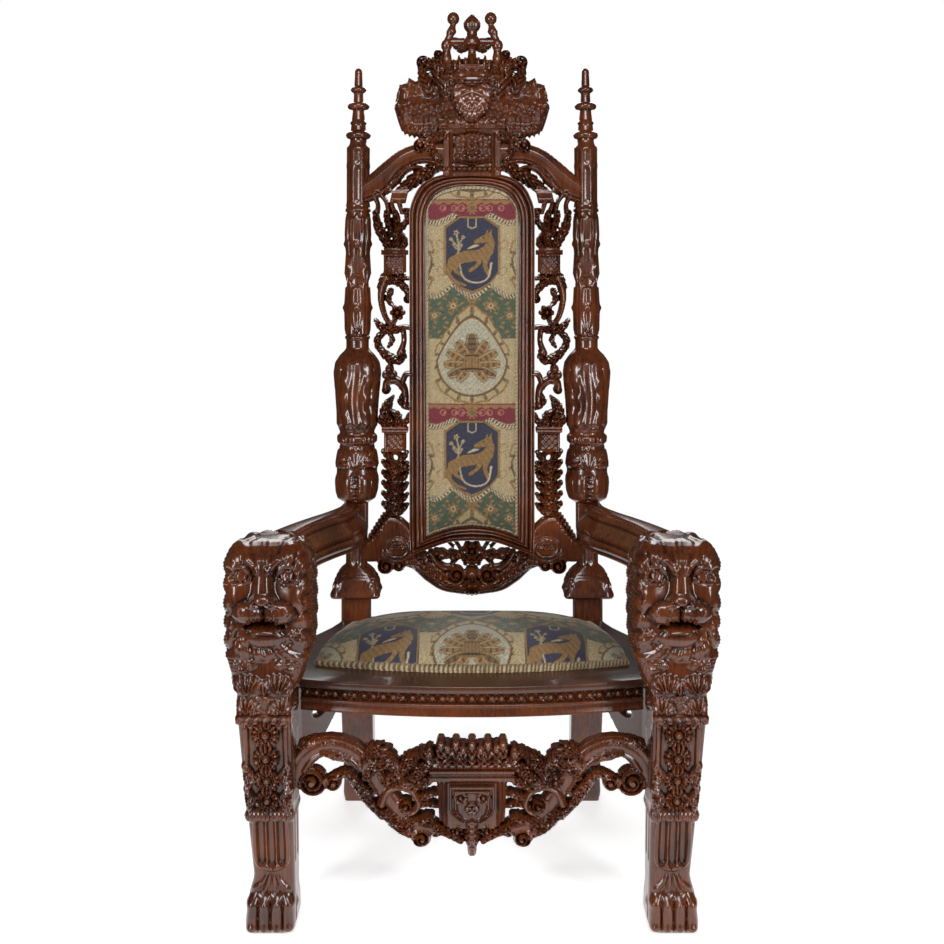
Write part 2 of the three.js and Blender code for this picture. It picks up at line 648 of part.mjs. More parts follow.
function crest(plug) {
  const wing = loft(WING.map(([x, top, bottom, deep]) => {
    const m = (top + bottom) / 2;
    const h = (top - bottom) / 2;
    return [
      [x, 34, top], [x, 24 - deep, m + h * 0.6], [x, 24 - deep * 0.4, m + h * 0.15],
      [x, 24 - deep, m - h * 0.45], [x, 34, bottom],
    ];
  }));
  const half = [
    wing,
    strand([[-114, 1688], [-146, 1704]], [16, 1], 2, 36, 1),
    strand([[-140, 1674], [-170, 1689]], [18, 1], 2, 36, 1),
    strand([[-136, 1592], [-154, 1566]], [16, 3], 2, 36, 1),
    // the scrolled leaves on the wings' shoulders
    strand([[-78, 1690], [-110, 1740]], [34, 14], 2, 36, 1),
    boss(-111, 1742, 17, 0, 34),
    strand([[-54, 1696], [-82, 1752]], [26, 10], 2, 34, 1),
    // the scroll beside the block, lying on the front of the shoulder rail
    strand([[-58, 1562], [-118, 1546]], [18, 14], -8, 6 - GAP, 1),
    boss(-118, 1547, 15, -10, 6 - GAP, 5),
    loft([[-49, 1706, 10], [-53, 1732, 13], [-58, 1764, 9], [-57, 1782, 12], [-46, 1808, 9],
      [-42, 1830, 14.5], [-42, 1843, 13]]
      .map(([x, z, r]) => squareRing(x, 24, r, r, z, 5, 2)), [-42, 24, 1850]),
  ];
  const fretRing = (k, y) => [[-46, 1694], [46, 1694], [48, 1656], [0, 1598], [-48, 1656]]
    .map(([x, z]) => [x * k, y, 1655 + (z - 1655) * k]);
  const middle = [
    loft([[1740, 14], [1764, 10], [1778, 21], [1806, 12], [1826, 20.5]]
      .map(([z, r]) => squareRing(0, 24, r, r, z, 6, 2)), [0, 24, 1845]),
    loft([[1694, 38, 18], [1702, 43, 23], [1727, 40, 20]]
      .map(([z, a, b]) => squareRing(0, 22, a, b, z, 8, 2.6))),
    ...[-28, 0, 28].map((x) => strand([[x, 1722], [x * 1.1, 1752]], [14, 3], 2, 34, 1)),
    loft([fretRing(1, 40), fretRing(1, 0), fretRing(0.55, -8)]),
    loft([[67, 2, 1480], [67, 2, 1586], [73, -4, 1590], [73, -4, 1601], [40, 6, 1606], [40, 6, 1698]]
      .map(([x, y, z]) => [[-x, y, z], [x, y, z], [x, 43, z], [-x, 43, z]])),
    rosette(0, 1540, 32, -7, 10),
    box(-46, 46, 11, 38, 1774, 1792),
  ];
  return lean(cut(join([...both(half), ...middle]), [plug]));
}

// ---- Assembly ----
const group = new THREE.Group();

function add(name, geometry, color = WOOD) {
  const placed = geometry.clone().translate(0, -MID_DEPTH, 0);
  placed.computeVertexNormals();
  const material = new THREE.MeshStandardMaterial({
    color,
    roughness: color === CLOTH ? 0.95 : 0.35,
    metalness: 0,
    flatShading: true,
  });
  const mesh = new THREE.Mesh(placed, material);
  mesh.name = name;
  group.add(mesh);
}

function addPair(name, right) {
  add(`${name}_right`, right);
  add(`${name}_left`, mirror(right));
}

const plug = framePlug();
const wide = rearPost(GAP + 0.2);
const wideLeft = mirror(wide);

addPair('front_leg', frontLeg());
addPair('rear_post', rearPost(0));
addPair('armrest', armrest(wide));
add('seat_board', seatBoard());
add('front_rail', frontRail());
addPair('side_rail', sideRail());
addPair('side_apron', sideApron());
add('rear_rail', rearRail());
add('seat_cushion', cushion(), CLOTH);
add('front_stretcher', frontStretcher());
add('back_frame', backFrame());
add('back_pad', backPad(), CLOTH);
add('back_board', backBoard());
addPair('shoulder_rail', mirror(shoulderRail(wideLeft, plug)));
addPair('pierced_strip', mirror(piercedStrip(plug)));
add('lower_back_rail', lowerBackRail([wide, wideLeft], plug));
add('crest', crest(plug));

export default group;
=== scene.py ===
import math

import bmesh
import bpy
import numpy as np
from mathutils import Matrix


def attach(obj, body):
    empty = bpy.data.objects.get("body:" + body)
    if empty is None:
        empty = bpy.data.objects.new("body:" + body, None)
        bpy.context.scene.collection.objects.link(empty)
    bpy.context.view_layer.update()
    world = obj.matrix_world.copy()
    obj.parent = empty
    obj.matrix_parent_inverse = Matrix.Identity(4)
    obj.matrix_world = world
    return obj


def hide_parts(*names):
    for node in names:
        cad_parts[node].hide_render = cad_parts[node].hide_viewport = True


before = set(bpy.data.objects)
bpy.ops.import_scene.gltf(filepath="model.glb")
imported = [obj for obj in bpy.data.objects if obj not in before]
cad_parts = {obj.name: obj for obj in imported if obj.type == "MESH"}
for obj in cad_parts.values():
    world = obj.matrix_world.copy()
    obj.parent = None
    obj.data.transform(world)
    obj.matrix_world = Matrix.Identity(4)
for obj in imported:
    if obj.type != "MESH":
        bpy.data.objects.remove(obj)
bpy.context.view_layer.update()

# ---- Camera, light and floor ----
# The chair stands on a pale studio floor, seen from the front at standing height, with the lens tipped down
# a little. Two tall soft boxes stand each side of the camera, and a third hangs over it.
camera_data = bpy.data.cameras.new("camera")
camera_data.lens = 45.84
camera_data.sensor_width = 36
camera = bpy.data.objects.new("camera", camera_data)
camera.location = (0, -2.5065, 1.2717)
camera.rotation_euler = (math.radians(80.461), 0, 0)
bpy.context.collection.objects.link(camera)
bpy.context.scene.camera = camera
bpy.context.scene.view_settings.view_transform = "Standard"

SOFT_BOXES = {  # place, width, height, watts
    "left_box": ((-2.0, -2.5, 1.6), 0.45, 1.7, 50),
    "right_box": ((2.0, -2.5, 1.6), 0.45, 1.7, 50),
    "top_box": ((0, -2.2, 3.3), 1.6, 0.8, 45),
    "back_box": ((0, 2.4, 2.6), 2.4, 1.2, 35),
}
for box_name, (box_place, box_width, box_height, watts) in SOFT_BOXES.items():
    box_light = bpy.data.lights.new(box_name, "AREA")
    box_light.shape = "RECTANGLE"
    box_light.size = box_width
    box_light.size_y = box_height
    box_light.energy = watts
    soft_box = bpy.data.objects.new(box_name, box_light)
    soft_box.location = box_place
    away = [a - b for a, b in zip(box_place, (0, 0, 0.9))]
    turn = math.atan2(away[0], -away[1])
    soft_box.rotation_euler = (math.atan2(math.hypot(*away[:2]), away[2]), 0, turn)
    bpy.context.collection.objects.link(soft_box)

world = bpy.data.worlds.new("studio")
world.use_nodes = True
sky = world.node_tree.nodes["Background"]
seen_directly = world.node_tree.nodes.new("ShaderNodeLightPath")
sky_strength = world.node_tree.nodes.new("ShaderNodeMapRange")
sky_strength.inputs["To Min"].default_value = 0.05
sky_strength.inputs["To Max"].default_value = 1.0
world.node_tree.links.new(seen_directly.outputs["Is Camera Ray"], sky_strength.inputs["Value"])
world.node_tree.links.new(sky_strength.outputs["Result"], sky.inputs["Strength"])
sky.inputs["Color"].default_value = (1, 1, 1, 1)
bpy.context.scene.world = world

floor_mesh = bpy.data.meshes.new("floor")
FLOOR_RADIUS = 1.6
round_floor = np.linspace(0, 2 * np.pi, 96, endpoint=False)
floor_rim = np.stack([np.cos(round_floor), np.sin(round_floor), 0 * round_floor], axis=-1) * FLOOR_RADIUS
floor_mesh.from_pydata(floor_rim - (0, 0, 0.0005), [], [list(range(96))])
floor = bpy.data.objects.new("floor", floor_mesh)
bpy.context.collection.objects.link(floor)
floor_paint = bpy.data.materials.new("floor_paint")
floor_paint.use_nodes = True
floor_shader = floor_paint.node_tree.nodes["Principled BSDF"]
floor_shader.inputs["Base Color"].default_value = (0.92, 0.92, 0.92, 1)
floor_shader.inputs["Roughness"].default_value = 0.9
floor_shader.inputs["Emission Color"].default_value = (1, 1, 1, 1)
floor_shader.inputs["Emission Strength"].default_value = 0.6
floor_mesh.materials.append(floor_paint)


# ---- Front legs ----
# Each leg is one mahogany timber: a paw with four toes, a fluted shin, a panel of four rosettes, a leafy
# capital and a lion's head. All of it is carved from the round-cornered post, stained dark and lacquered to
# a high gloss.
TOE_PLANE = 360.22  # mm from the front paws' toes to the middle of the chair


def polished_wood(name, light, dark, recess_shade, gloss):
    """Lacquered mahogany: long grain from noise stretched along the height, broad stains from slow noise,
    and a dark colour wherever the piece's own attribute says that the carving is cut in, which is partly the
    dark glaze left in the hollows and partly painted shade there."""
    wood = bpy.data.materials.new(name)
    wood.use_nodes = True
    nodes = wood.node_tree.nodes
    links = wood.node_tree.links
    shader = nodes["Principled BSDF"]
    shader.inputs["Roughness"].default_value = gloss
    shader.inputs["Coat Weight"].default_value = 0.35
    shader.inputs["Coat Roughness"].default_value = 0.09
    shader.inputs["IOR"].default_value = 1.5
    place = nodes.new("ShaderNodeTexCoord")
    stretch = nodes.new("ShaderNodeMapping")
    stretch.inputs["Scale"].default_value = (1, 1, 0.09)
    grain = nodes.new("ShaderNodeTexNoise")
    grain.inputs["Scale"].default_value = 210
    grain.inputs["Detail"].default_value = 5
    stain = nodes.new("ShaderNodeTexNoise")
    stain.inputs["Scale"].default_value = 9
    stain.inputs["Detail"].default_value = 3
    grain_and_stain = nodes.new("ShaderNodeMix")
    grain_and_stain.inputs["Factor"].default_value = 0.55
    tone = nodes.new("ShaderNodeValToRGB")
    tone.color_ramp.elements[0].position = 0.36
    tone.color_ramp.elements[0].color = (*dark, 1)
    tone.color_ramp.elements[1].position = 0.66
    tone.color_ramp.elements[1].color = (*light, 1)
    # The attribute tells how deep each place lies in the carving; there the recess colour is mixed in, partly dark
    # glaze and partly painted shade.
    hollow_shade = nodes.new("ShaderNodeAttribute")
    hollow_shade.attribute_name = "hollow_shade"
    shade = nodes.new("ShaderNodeMix")
    shade.data_type = "RGBA"
    shade.inputs[7].default_value = (*recess_shade, 1)
    bump = nodes.new("ShaderNodeBump")
    bump.inputs["Strength"].default_value = 0.12
    bump.inputs["Distance"].default_value = 0.0006
    links.new(place.outputs["Object"], stretch.inputs["Vector"])
    links.new(stretch.outputs["Vector"], grain.inputs["Vector"])
    links.new(place.outputs["Object"], stain.inputs["Vector"])
    links.new(grain.outputs["Fac"], grain_and_stain.inputs[2])
    links.new(stain.outputs["Fac"], grain_and_stain.inputs[3])
    links.new(grain_and_stain.outputs[0], tone.inputs["Fac"])
    links.new(tone.outputs["Color"], shade.inputs[6])
    links.new(hollow_shade.outputs["Fac"], shade.inputs[0])
    links.new(shade.outputs[2], shader.inputs["Base Color"])
    links.new(grain.outputs["Fac"], bump.inputs["Height"])
    links.new(bump.outputs["Normal"], shader.inputs["Normal"])
    return wood


# The third colour is the near-black of the hollows: partly dark glaze, partly painted shade.
mahogany = polished_wood("mahogany", (0.150, 0.036, 0.0085), (0.036, 0.0085, 0.003), (0.006, 0.0018, 0.001),
                         0.24)


def set_down(name, node, places, faces, hollow_shade, material, slot="mahogany", crease=48):
    """Makes the piece that stands for a CAD node. Its places are x, depth behind the toes and height in
    millimetres; the faces are lists of place numbers, and the darkening of each place is painted shade in the
    carving's hollows, partly also its dark glaze."""
    mesh = bpy.data.meshes.new(name)
    metres = (places.reshape(-1, 3) - (0, TOE_PLANE, 0)) / 1000
    mesh.from_pydata(metres, [], faces)
    # Each place's painted shade goes into its own attribute, which the wood material reads.
    mark = mesh.attributes.new("hollow_shade", "FLOAT", "POINT")
    mark.data.foreach_set("value", np.ascontiguousarray(hollow_shade, dtype=np.float32).ravel())
    mesh.shade_smooth()
    mesh.set_sharp_from_angle(angle=math.radians(crease))
    mesh.materials.append(material)
    piece = bpy.data.objects.new(name, mesh)
    bpy.context.collection.objects.link(piece)
    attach(piece, "root")
    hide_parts(node)
    return piece


def tube_faces(rows, columns):
    """Faces over a grid of rows that close on themselves, each between four neighbours, with one face on
    each end."""
    row, column = np.meshgrid(np.arange(rows - 1), np.arange(columns), indexing="ij")
    beside = (column + 1) % columns
    low = row * columns
    corners = (low + column, low + beside, low + columns + beside, low + columns + column)
    faces = np.stack(corners, axis=-1).reshape(-1, 4).tolist()
    faces.append(list(range(columns))[::-1])
    faces.append([(rows - 1) * columns + c for c in range(columns)])
    return faces


def mirrored(places, faces):
    """The same piece on the chair's other side: x changes sign, and each face is walked the other way
    round."""
    return places * (-1, 1, 1), [face[::-1] for face in faces]


def set_pair(part, finish, places, faces, hollow_shade):
    """The right-hand piece and its mirror image on the chair's left side, both in mahogany."""
    set_down(f"{part}_right_{finish}", f"{part}_right", places, faces, hollow_shade, mahogany)
    set_down(f"{part}_left_{finish}", f"{part}_left", *mirrored(places, faces), hollow_shade, mahogany)


def timber(table, spacing, counts):
    """Places and outward directions on a round-cornered post. The table's rows are height, middle x, middle
    depth, half width, half depth and corner radius; rows of places are spread evenly along its profile. A
    walk round a square gives each row, and every corner of it is pressed into an arc of the corner
    radius."""
    table = np.array(table, float)
    profile = table[:, [0, 3, 4]]
    length = np.r_[0, np.cumsum(np.linalg.norm(np.diff(profile, axis=0), axis=1))]
    wanted = np.linspace(0, length[-1], int(length[-1] / spacing) + 1)
    z, cx, cy, a, b, r = (np.interp(wanted, length, column)[:, None] for column in table.T)
    front, side, rear = counts
    u = np.r_[np.linspace(-1, 1, front, False), np.ones(side), np.linspace(1, -1, rear, False),
              -np.ones(side)]
    v = np.r_[-np.ones(front), np.linspace(-1, 1, side, False), np.ones(rear),
              np.linspace(1, -1, side, False)]
    r = np.minimum(r, np.minimum(a, b) * 0.999)
    qx, qy = a * u, b * v
    kx, ky = np.clip(qx, r - a, a - r), np.clip(qy, r - b, b - r)
    reach = np.hypot(qx - kx, qy - ky)
    nx, ny = (qx - kx) / reach, (qy - ky) / reach
    return cx + kx + r * nx, cy + ky + r * ny, z + 0 * qx, nx, ny


def mound(x, z, cx, cz, rx, rz):
    """A soft swelling: e to the minus squared distance, in shares of its two radii."""
    return np.exp(-((x - cx) / rx) ** 2 - ((z - cz) / rz) ** 2)


def dome(x, z, cx, cz, rx, rz):
    """Half a ball: the root of 1 minus the squared distance, in shares of its two radii."""
    return np.sqrt(np.clip(1 - ((x - cx) / rx) ** 2 - ((z - cz) / rz) ** 2, 0, None))


def rise(value, low, high):
    """A smooth step from 0 at low to 1 at high: 3 t squared minus 2 t cubed."""
    t = np.clip((value - low) / (high - low), 0, 1)
    return t * t * (3 - 2 * t)


def bend(points, steps):
    """Points along a smooth line through the given ones: a Catmull-Rom curve, with the ends repeated."""
    p = np.array(points, float)
    p = np.vstack([2 * p[0] - p[1], p, 2 * p[-1] - p[-2]])
    t = np.linspace(0, len(points) - 1, steps + 1)
    i = np.minimum(t.astype(int), len(points) - 2)
    f = (t - i)[:, None]
    a, b, c, d = p[i], p[i + 1], p[i + 2], p[i + 3]
    return 0.5 * (2 * b + (c - a) * f + (2 * a - 5 * b + 4 * c - d) * f**2 + (3 * b - a - 3 * c + d) * f**3)


def follow(x, z, points, steps=12):
    """How far each place lies from a smooth line (plus on its left), and how far along it the nearest point
    is."""
    line = bend(points, steps)
    best = np.full(x.shape, np.inf)
    side = np.zeros(x.shape)
    along = np.zeros(x.shape)
    for i in range(steps):
        (x0, z0), (dx, dz) = line[i], line[i + 1] - line[i]
        share = np.clip(((x - x0) * dx + (z - z0) * dz) / (dx * dx + dz * dz + 1e-9), 0, 1)
        ex, ez = x - x0 - share * dx, z - z0 - share * dz
        away = ex * ex + ez * ez
        nearer = away < best
        best = np.where(nearer, away, best)
        side = np.where(nearer, dx * ez - dz * ex, side)
        along = np.where(nearer, (i + share) / steps, along)
    return np.sqrt(best) * np.where(side < 0, -1, 1), along


def ridge(x, z, points, halves, steps=12):
    """A round ridge along a smooth line: the root of 1 minus the squared share of the half width, which
    changes evenly from one of the given values to the next."""
    height = np.zeros(x.shape)
    reach = max(halves)
    line = np.array(points, float)
    near = (x > line[:, 0].min() - reach) & (x < line[:, 0].max() + reach)
    near &= (z > line[:, 1].min() - reach) & (z < line[:, 1].max() + reach)
    off, along = follow(x[near], z[near], points, steps)
    half = np.interp(along, np.linspace(0, 1, len(halves)), halves)
    height[near] = np.sqrt(np.clip(1 - (off / half) ** 2, 0, None))
    return height


def fan(x, z, cx, cz, radius, blades, aim, spread):
    """A palmette: blades that spread from its foot, each round across; aim and spread are angles in
    degrees."""
    reach = np.hypot(x - cx, z - cz) / radius
    angle = np.degrees(np.arctan2(z - cz, x - cx)) - aim
    angle = (angle + 180) % 360 - 180
    blade = np.abs(np.cos(np.pi * blades * angle / (2 * spread)))
    tip = 1 - 0.16 * (1 - blade)
    inside = (np.abs(angle) < spread) & (reach < tip)
    return np.where(inside, (0.35 + 0.65 * blade) * np.sin(np.pi * np.clip(reach, 0, 1) ** 0.8) ** 0.5, 0)


def flower(x, z, cx, cz, radius, petals):
    """A rosette: a ring of petals with notched tips, a groove, an inner ring, and a bud as half a ball."""
    reach = np.hypot(x - cx, z - cz) / radius
    petal = np.abs(np.cos(petals * np.arctan2(z - cz, x - cx) / 2))
    outer = np.where(reach < 0.84 + 0.16 * petal, 0.35 + 0.65 * petal, 0) * rise(reach, 0.42, 0.62)
    ring = np.exp(-((reach - 0.46) / 0.08) ** 2) * 0.7
    bud = 1.25 * np.sqrt(np.clip(1 - (reach / 0.34) ** 2, 0, None))
    return np.maximum(np.maximum(outer, ring), bud)


def lay(ground, form):
    """A raised form laid on the carving: where it has any height, the higher of the two stays."""
    return np.where(form > 0, np.maximum(ground, form), ground)


def hollowness(height, reach, depth):
    """How far a place lies under the mean height around it, as a share of depth: 1 in a groove, 0 on a
    ridge. It gives the amount of painted shade in the carving's hollows."""
    mean = height
    for axis in (0, 1):
        mean = sum(np.roll(mean, k, axis) for k in range(-reach, reach + 1)) / (2 * reach + 1)
    return np.clip((mean - height) / depth, 0, 1)


LEG_TABLE = [  # height, inner x, outer x, front, rear, corner radius
    (0, 352, 436, 12, 106, 14), (6, 346, 441, 9, 111, 18), (16, 344, 443, 9, 112, 20),
    (46, 344, 440, 13, 112, 22), (78, 345, 434, 18, 106, 22), (100, 345, 427, 22, 104, 16),
    (112, 345, 425, 23, 104, 14), (226, 344, 431, 18, 108, 12), (231, 342, 435, 11, 110, 12),
    (246, 342, 435, 11, 110, 12), (250, 343, 434, 15, 112, 12), (424, 342, 444, 14, 120, 12),
    (427, 341, 448, 6, 124, 10), (439, 341, 448, 6, 126, 10), (443, 341, 445, 13, 126, 10),
    (484, 341, 444, 12, 128, 12), (490, 336, 447, 8, 130, 14), (500, 334, 449, 6, 132, 16),
    (522, 322, 454, 11, 136, 20), (548, 309, 463, 14, 144, 26), (580, 306, 464, 12, 149, 28),
    (614, 304, 463, 11, 149, 28), (650, 303, 463, 11, 149, 28), (692, 303, 462, 12, 149, 28),
    (735, 305, 461, 15, 149, 30), (752, 310, 455, 22, 148, 34), (764, 322, 442, 38, 146, 34),
    (770, 336, 428, 58, 142, 30), (772, 350, 414, 74, 134, 20),
]
FACE_X = 386  # middle of the lion's face
PANEL_X = 391  # middle of the rosettes
LEG_ROSETTES = ((417, 27), (369, 26), (326, 25), (285, 24))  # height and radius
TOES = (355, 379, 403, 427)
LEG_FLUTES = (368, 387, 406)


def lion_face(x, z):
    """The face as heights over the front of the block, from swellings, half balls and ridges on both sides
    alike."""
    u = x - FACE_X
    a = np.abs(u)
    face = 7 * mound(a, z, 54, 672, 22, 30) + 5 * mound(u, z, 0, 748, 40, 20)
    face -= 11 * mound(a, z, 42, 715, 20, 14)
    iris = np.hypot(a - 43, z - 713)
    face += 10 * dome(a, z, 43, 713, 13, 11)
    face -= 2.4 * np.exp(-((iris - 6.2) / 1.4) ** 2) + 3 * np.exp(-((iris / 2.4) ** 2))
    face += 6 * ridge(a, z, [(23, 706), (30, 723), (44, 729), (58, 723), (68, 705)], [2, 5, 5, 5, 2])
    face += 4 * ridge(a, z, [(25, 704), (42, 698), (62, 702)], [2, 4, 2])
    face += 9 * ridge(a, z, [(13, 722), (24, 742), (44, 751), (66, 740)], [6, 8, 8, 4])
    face += 4 * ridge(a, z, [(7, 726), (11, 746), (9, 768)], [3, 5, 3])
    half = np.interp(z, [660, 690, 745], [25, 17, 13])
    bridge = np.interp(z, [655, 664, 680, 745, 756], [0, 22, 19, 8, 0])
    face += bridge * np.exp(-((u / half) ** 4))
    face += 8 * dome(u, z, 0, 671, 28, 12) - 15 * mound(a, z, 13, 664, 6, 4)
    pads = 21 * dome(a, z, 27, 645, 31, 23) ** 0.8
    for knob_x, knob_z in ((18, 652), (31, 655), (44, 651), (22, 641), (36, 643), (47, 640), (30, 632)):
        pads += 2.4 * mound(a, z, knob_x, knob_z, 3.4, 3.0)
    face += pads - 6 * mound(u, z, 0, 645, 3, 14)
    face += 13 * ridge(a, z, [(0, 612), (22, 612), (40, 619)], [7, 6, 3]) + 12 * dome(u, z, 0, 596, 36, 20)
    face -= 34 * ridge(a, z, [(0, 625), (18, 625), (36, 617)], [7, 6, 3]) ** 0.6
    for tooth in (6, 15, 25):
        face += 15 * dome(a, z, tooth, 630 - tooth * 0.08, 4.5, 6)
    face -= 6 * ridge(a, z, [(0, 571), (36, 578), (60, 602), (66, 632), (56, 654)], [4, 4, 4, 4, 2])
    face += 5 * ridge(a, z, [(0, 562), (40, 568), (68, 598), (75, 634), (66, 664)], [5, 6, 6, 6, 3])
    turn = np.arctan2(z - 668, u)
    reach = np.hypot(u, (z - 668) * 0.74)
    mane = rise(reach, 64, 72)
    locks = 8 * np.abs(np.cos(8 * turn + 0.03 * reach)) ** 0.8 + 1.3 * np.cos(46 * turn + 0.25 * reach) - 3
    return face * (1 - 0.75 * mane) + mane * locks


def mane_side(y, z):
    """Locks on the head's sides: S-shaped ridges that slope back and down, with finer hairs along them."""
    swing = z / 36 + 0.42 * np.sin(y / 17) + y / 90
    return 8 * np.abs(np.cos(np.pi * swing)) ** 0.75 - 4 + 1.2 * np.cos(2 * np.pi * (z / 6.5 + y / 34))


def leg_front(x, z):
    """The carving of the leg's front under the head, from the paw up to the collar, as heights in
    millimetres."""
    cut = np.zeros(x.shape)
    side = np.abs(x - PANEL_X)
    for toe in TOES:
        lift = rise(z, -4, 14) * (1 - rise(z, 58, 84))
        cut = lay(cut, 12 * lift * np.sqrt(np.clip(1 - ((x - toe) / 12.2) ** 2, 0, None)))
        cut += 4 * mound(x, z, toe, 60, 7, 9) + 4 * mound(x, z, toe, 12, 7, 8)
        cut += 4 * ridge(x, z, [(toe, 84), (toe * 0.5 + 193, 100), (toe * 0.3 + 270, 116)], [4, 5, 2])
    low = [(357, 226), (356, 150), (370, 133), (387, 129), (404, 133), (418, 150), (418, 226)]
    cut += 4.5 * ridge(x, z, low, [4, 4, 5, 6, 5, 4, 4], 24)
    for flute in LEG_FLUTES:
        foot = 142 - 4 * (flute == LEG_FLUTES[1])
        away = np.hypot(x - flute, np.clip(foot - z, 0, None) + np.clip(z - 224, 0, None))
        cut -= 8 * np.sqrt(np.clip(1 - (away / 8) ** 2, 0, None))
    rope = np.exp(-(((z - 238.5) / 6) ** 2)) * (np.abs(np.cos(np.pi * (x - 391) / 8)) * 4 - 1)
    cut += rope
    panel = rise(z, 252, 258) * (1 - rise(z, 418, 424))
    cut -= 4 * panel * (1 - rise(side, 31, 34))
    cut += 3 * panel * np.exp(-(((side - 38) / 3.5) ** 2)) - 2 * panel * np.exp(-(((side - 44) / 2) ** 2))
    for height, radius in LEG_ROSETTES:
        cut = lay(cut, 13 * flower(x, z, PANEL_X, height - 13, radius, 16) - 3.5)
    for height in (318, 272):
        cut = lay(cut, 9 * fan(side, z, 20, height + 6, 34, 7, -8, 62))
        cut = lay(cut, 10 * dome(side, z, 42, height + 22, 8, 8))
    cut += 3 * np.exp(-(((z - 433) / 5) ** 2)) * np.cos(2 * np.pi * (x - 391) / 17)
    cut = lay(cut, 9 * dome(side, z, 26, 423, 7, 8))
    for shell in (357, 426):
        cut = lay(cut, 9 * fan(x, z, shell, 445, 33, 9, 90, 88))
    cut = lay(cut, 5 * fan(x, z, 391, 484, 20, 5, -90, 70))
    for leaf, aim in ((364, 98), (420, 82)):
        cut = lay(cut, 11 * fan(x, z, leaf, 484, 42, 7, aim, 60))
    cut = lay(cut, 8 * fan(x, z, 391, 478, 34, 3, 90, 26))
    over = np.abs(x - FACE_X)
    scallop = 522 + 0.28 * (70 - over)
    lace = rise(z, scallop, scallop + 4) * (1 - rise(z, 549, 553)) * rise(over, 14, 22)
    weave = np.cos(2 * np.pi * (x + z) / 9) * np.cos(2 * np.pi * (x - z) / 9)
    return cut + lace * (4 + 2.2 * weave)


def leg_side(y, z):
    """The plainer carving of the leg's sides: a framed panel, a groove down the shin, and leaves at the
    capital."""
    across = np.abs(y - 62)
    shin = rise(z, 130, 140) * (1 - rise(z, 218, 226))
    side = -4 * shin * np.exp(-(((across - 16) / 5) ** 2))
    panel = rise(z, 262, 268) * (1 - rise(z, 410, 416))
    side -= 2.5 * panel * np.exp(-(((across - 34) / 3) ** 2))
    side += 4 * mound(y, z, 22, 60, 8, 10) + 4 * mound(y, z, 46, 50, 10, 9) - 5 * mound(y, z, 34, 28, 3, 24)
    rope = np.exp(-(((z - 238.5) / 6) ** 2)) * (np.abs(np.cos(np.pi * y / 8)) * 4 - 1)
    leaf = np.maximum(8 * fan(y, z, 62, 484, 44, 9, 90, 70), 7 * fan(y, z, 62, 445, 34, 9, 90, 80))
    return side + rope + leaf


leg_rows = [(z, (i + o) / 2, (f + r) / 2, (o - i) / 2, (r - f) / 2, c) for z, i, o, f, r, c in LEG_TABLE]
leg_x, leg_y, leg_z, leg_nx, leg_ny = timber(leg_rows, 3.0, (72, 32, 10))
head_share = rise(leg_z, 546, 556)
front_relief = (1 - head_share) * leg_front(leg_x, leg_z) + head_share * lion_face(leg_x, leg_z)
side_relief = (1 - head_share) * leg_side(leg_y, leg_z) + head_share * mane_side(leg_y, leg_z)
side_relief *= 1 - rise(leg_z, 742, 768)
# the seat's rail and board are let in behind the leg's inner side, which is left flat there
let_in = (leg_nx < 0) & (leg_y > 60) & (leg_z > 385) & (leg_z < 482)
side_relief = np.where(let_in, 0, side_relief)
facing = np.clip(-leg_ny, 0, 1) ** 2
relief = facing * front_relief + leg_nx**2 * side_relief
top_hair = rise(leg_z, 758, 766) * (1 - facing)
crown = 3 * np.cos(leg_x / 4.2 + 1.6 * np.sin(leg_y / 11)) * top_hair
# Painted shade in the hollows of the leg's carving, partly also its dark glaze.
leg_hollow_shade = hollowness(relief, 3, 4.0) * 0.9
leg_places = np.stack([leg_x + relief * leg_nx, leg_y + relief * leg_ny, leg_z + crown], axis=-1)
ear_lift = 9 * mound(leg_x, leg_y, 444, 50, 17, 24) + 8 * mound(leg_x, leg_y, 325, 50, 17, 24)
leg_places[..., 2] += ear_lift * rise(leg_z, 735, 752)
leg_faces = tube_faces(*leg_x.shape)
set_pair("front_leg", "carved", leg_places, leg_faces, leg_hollow_shade)


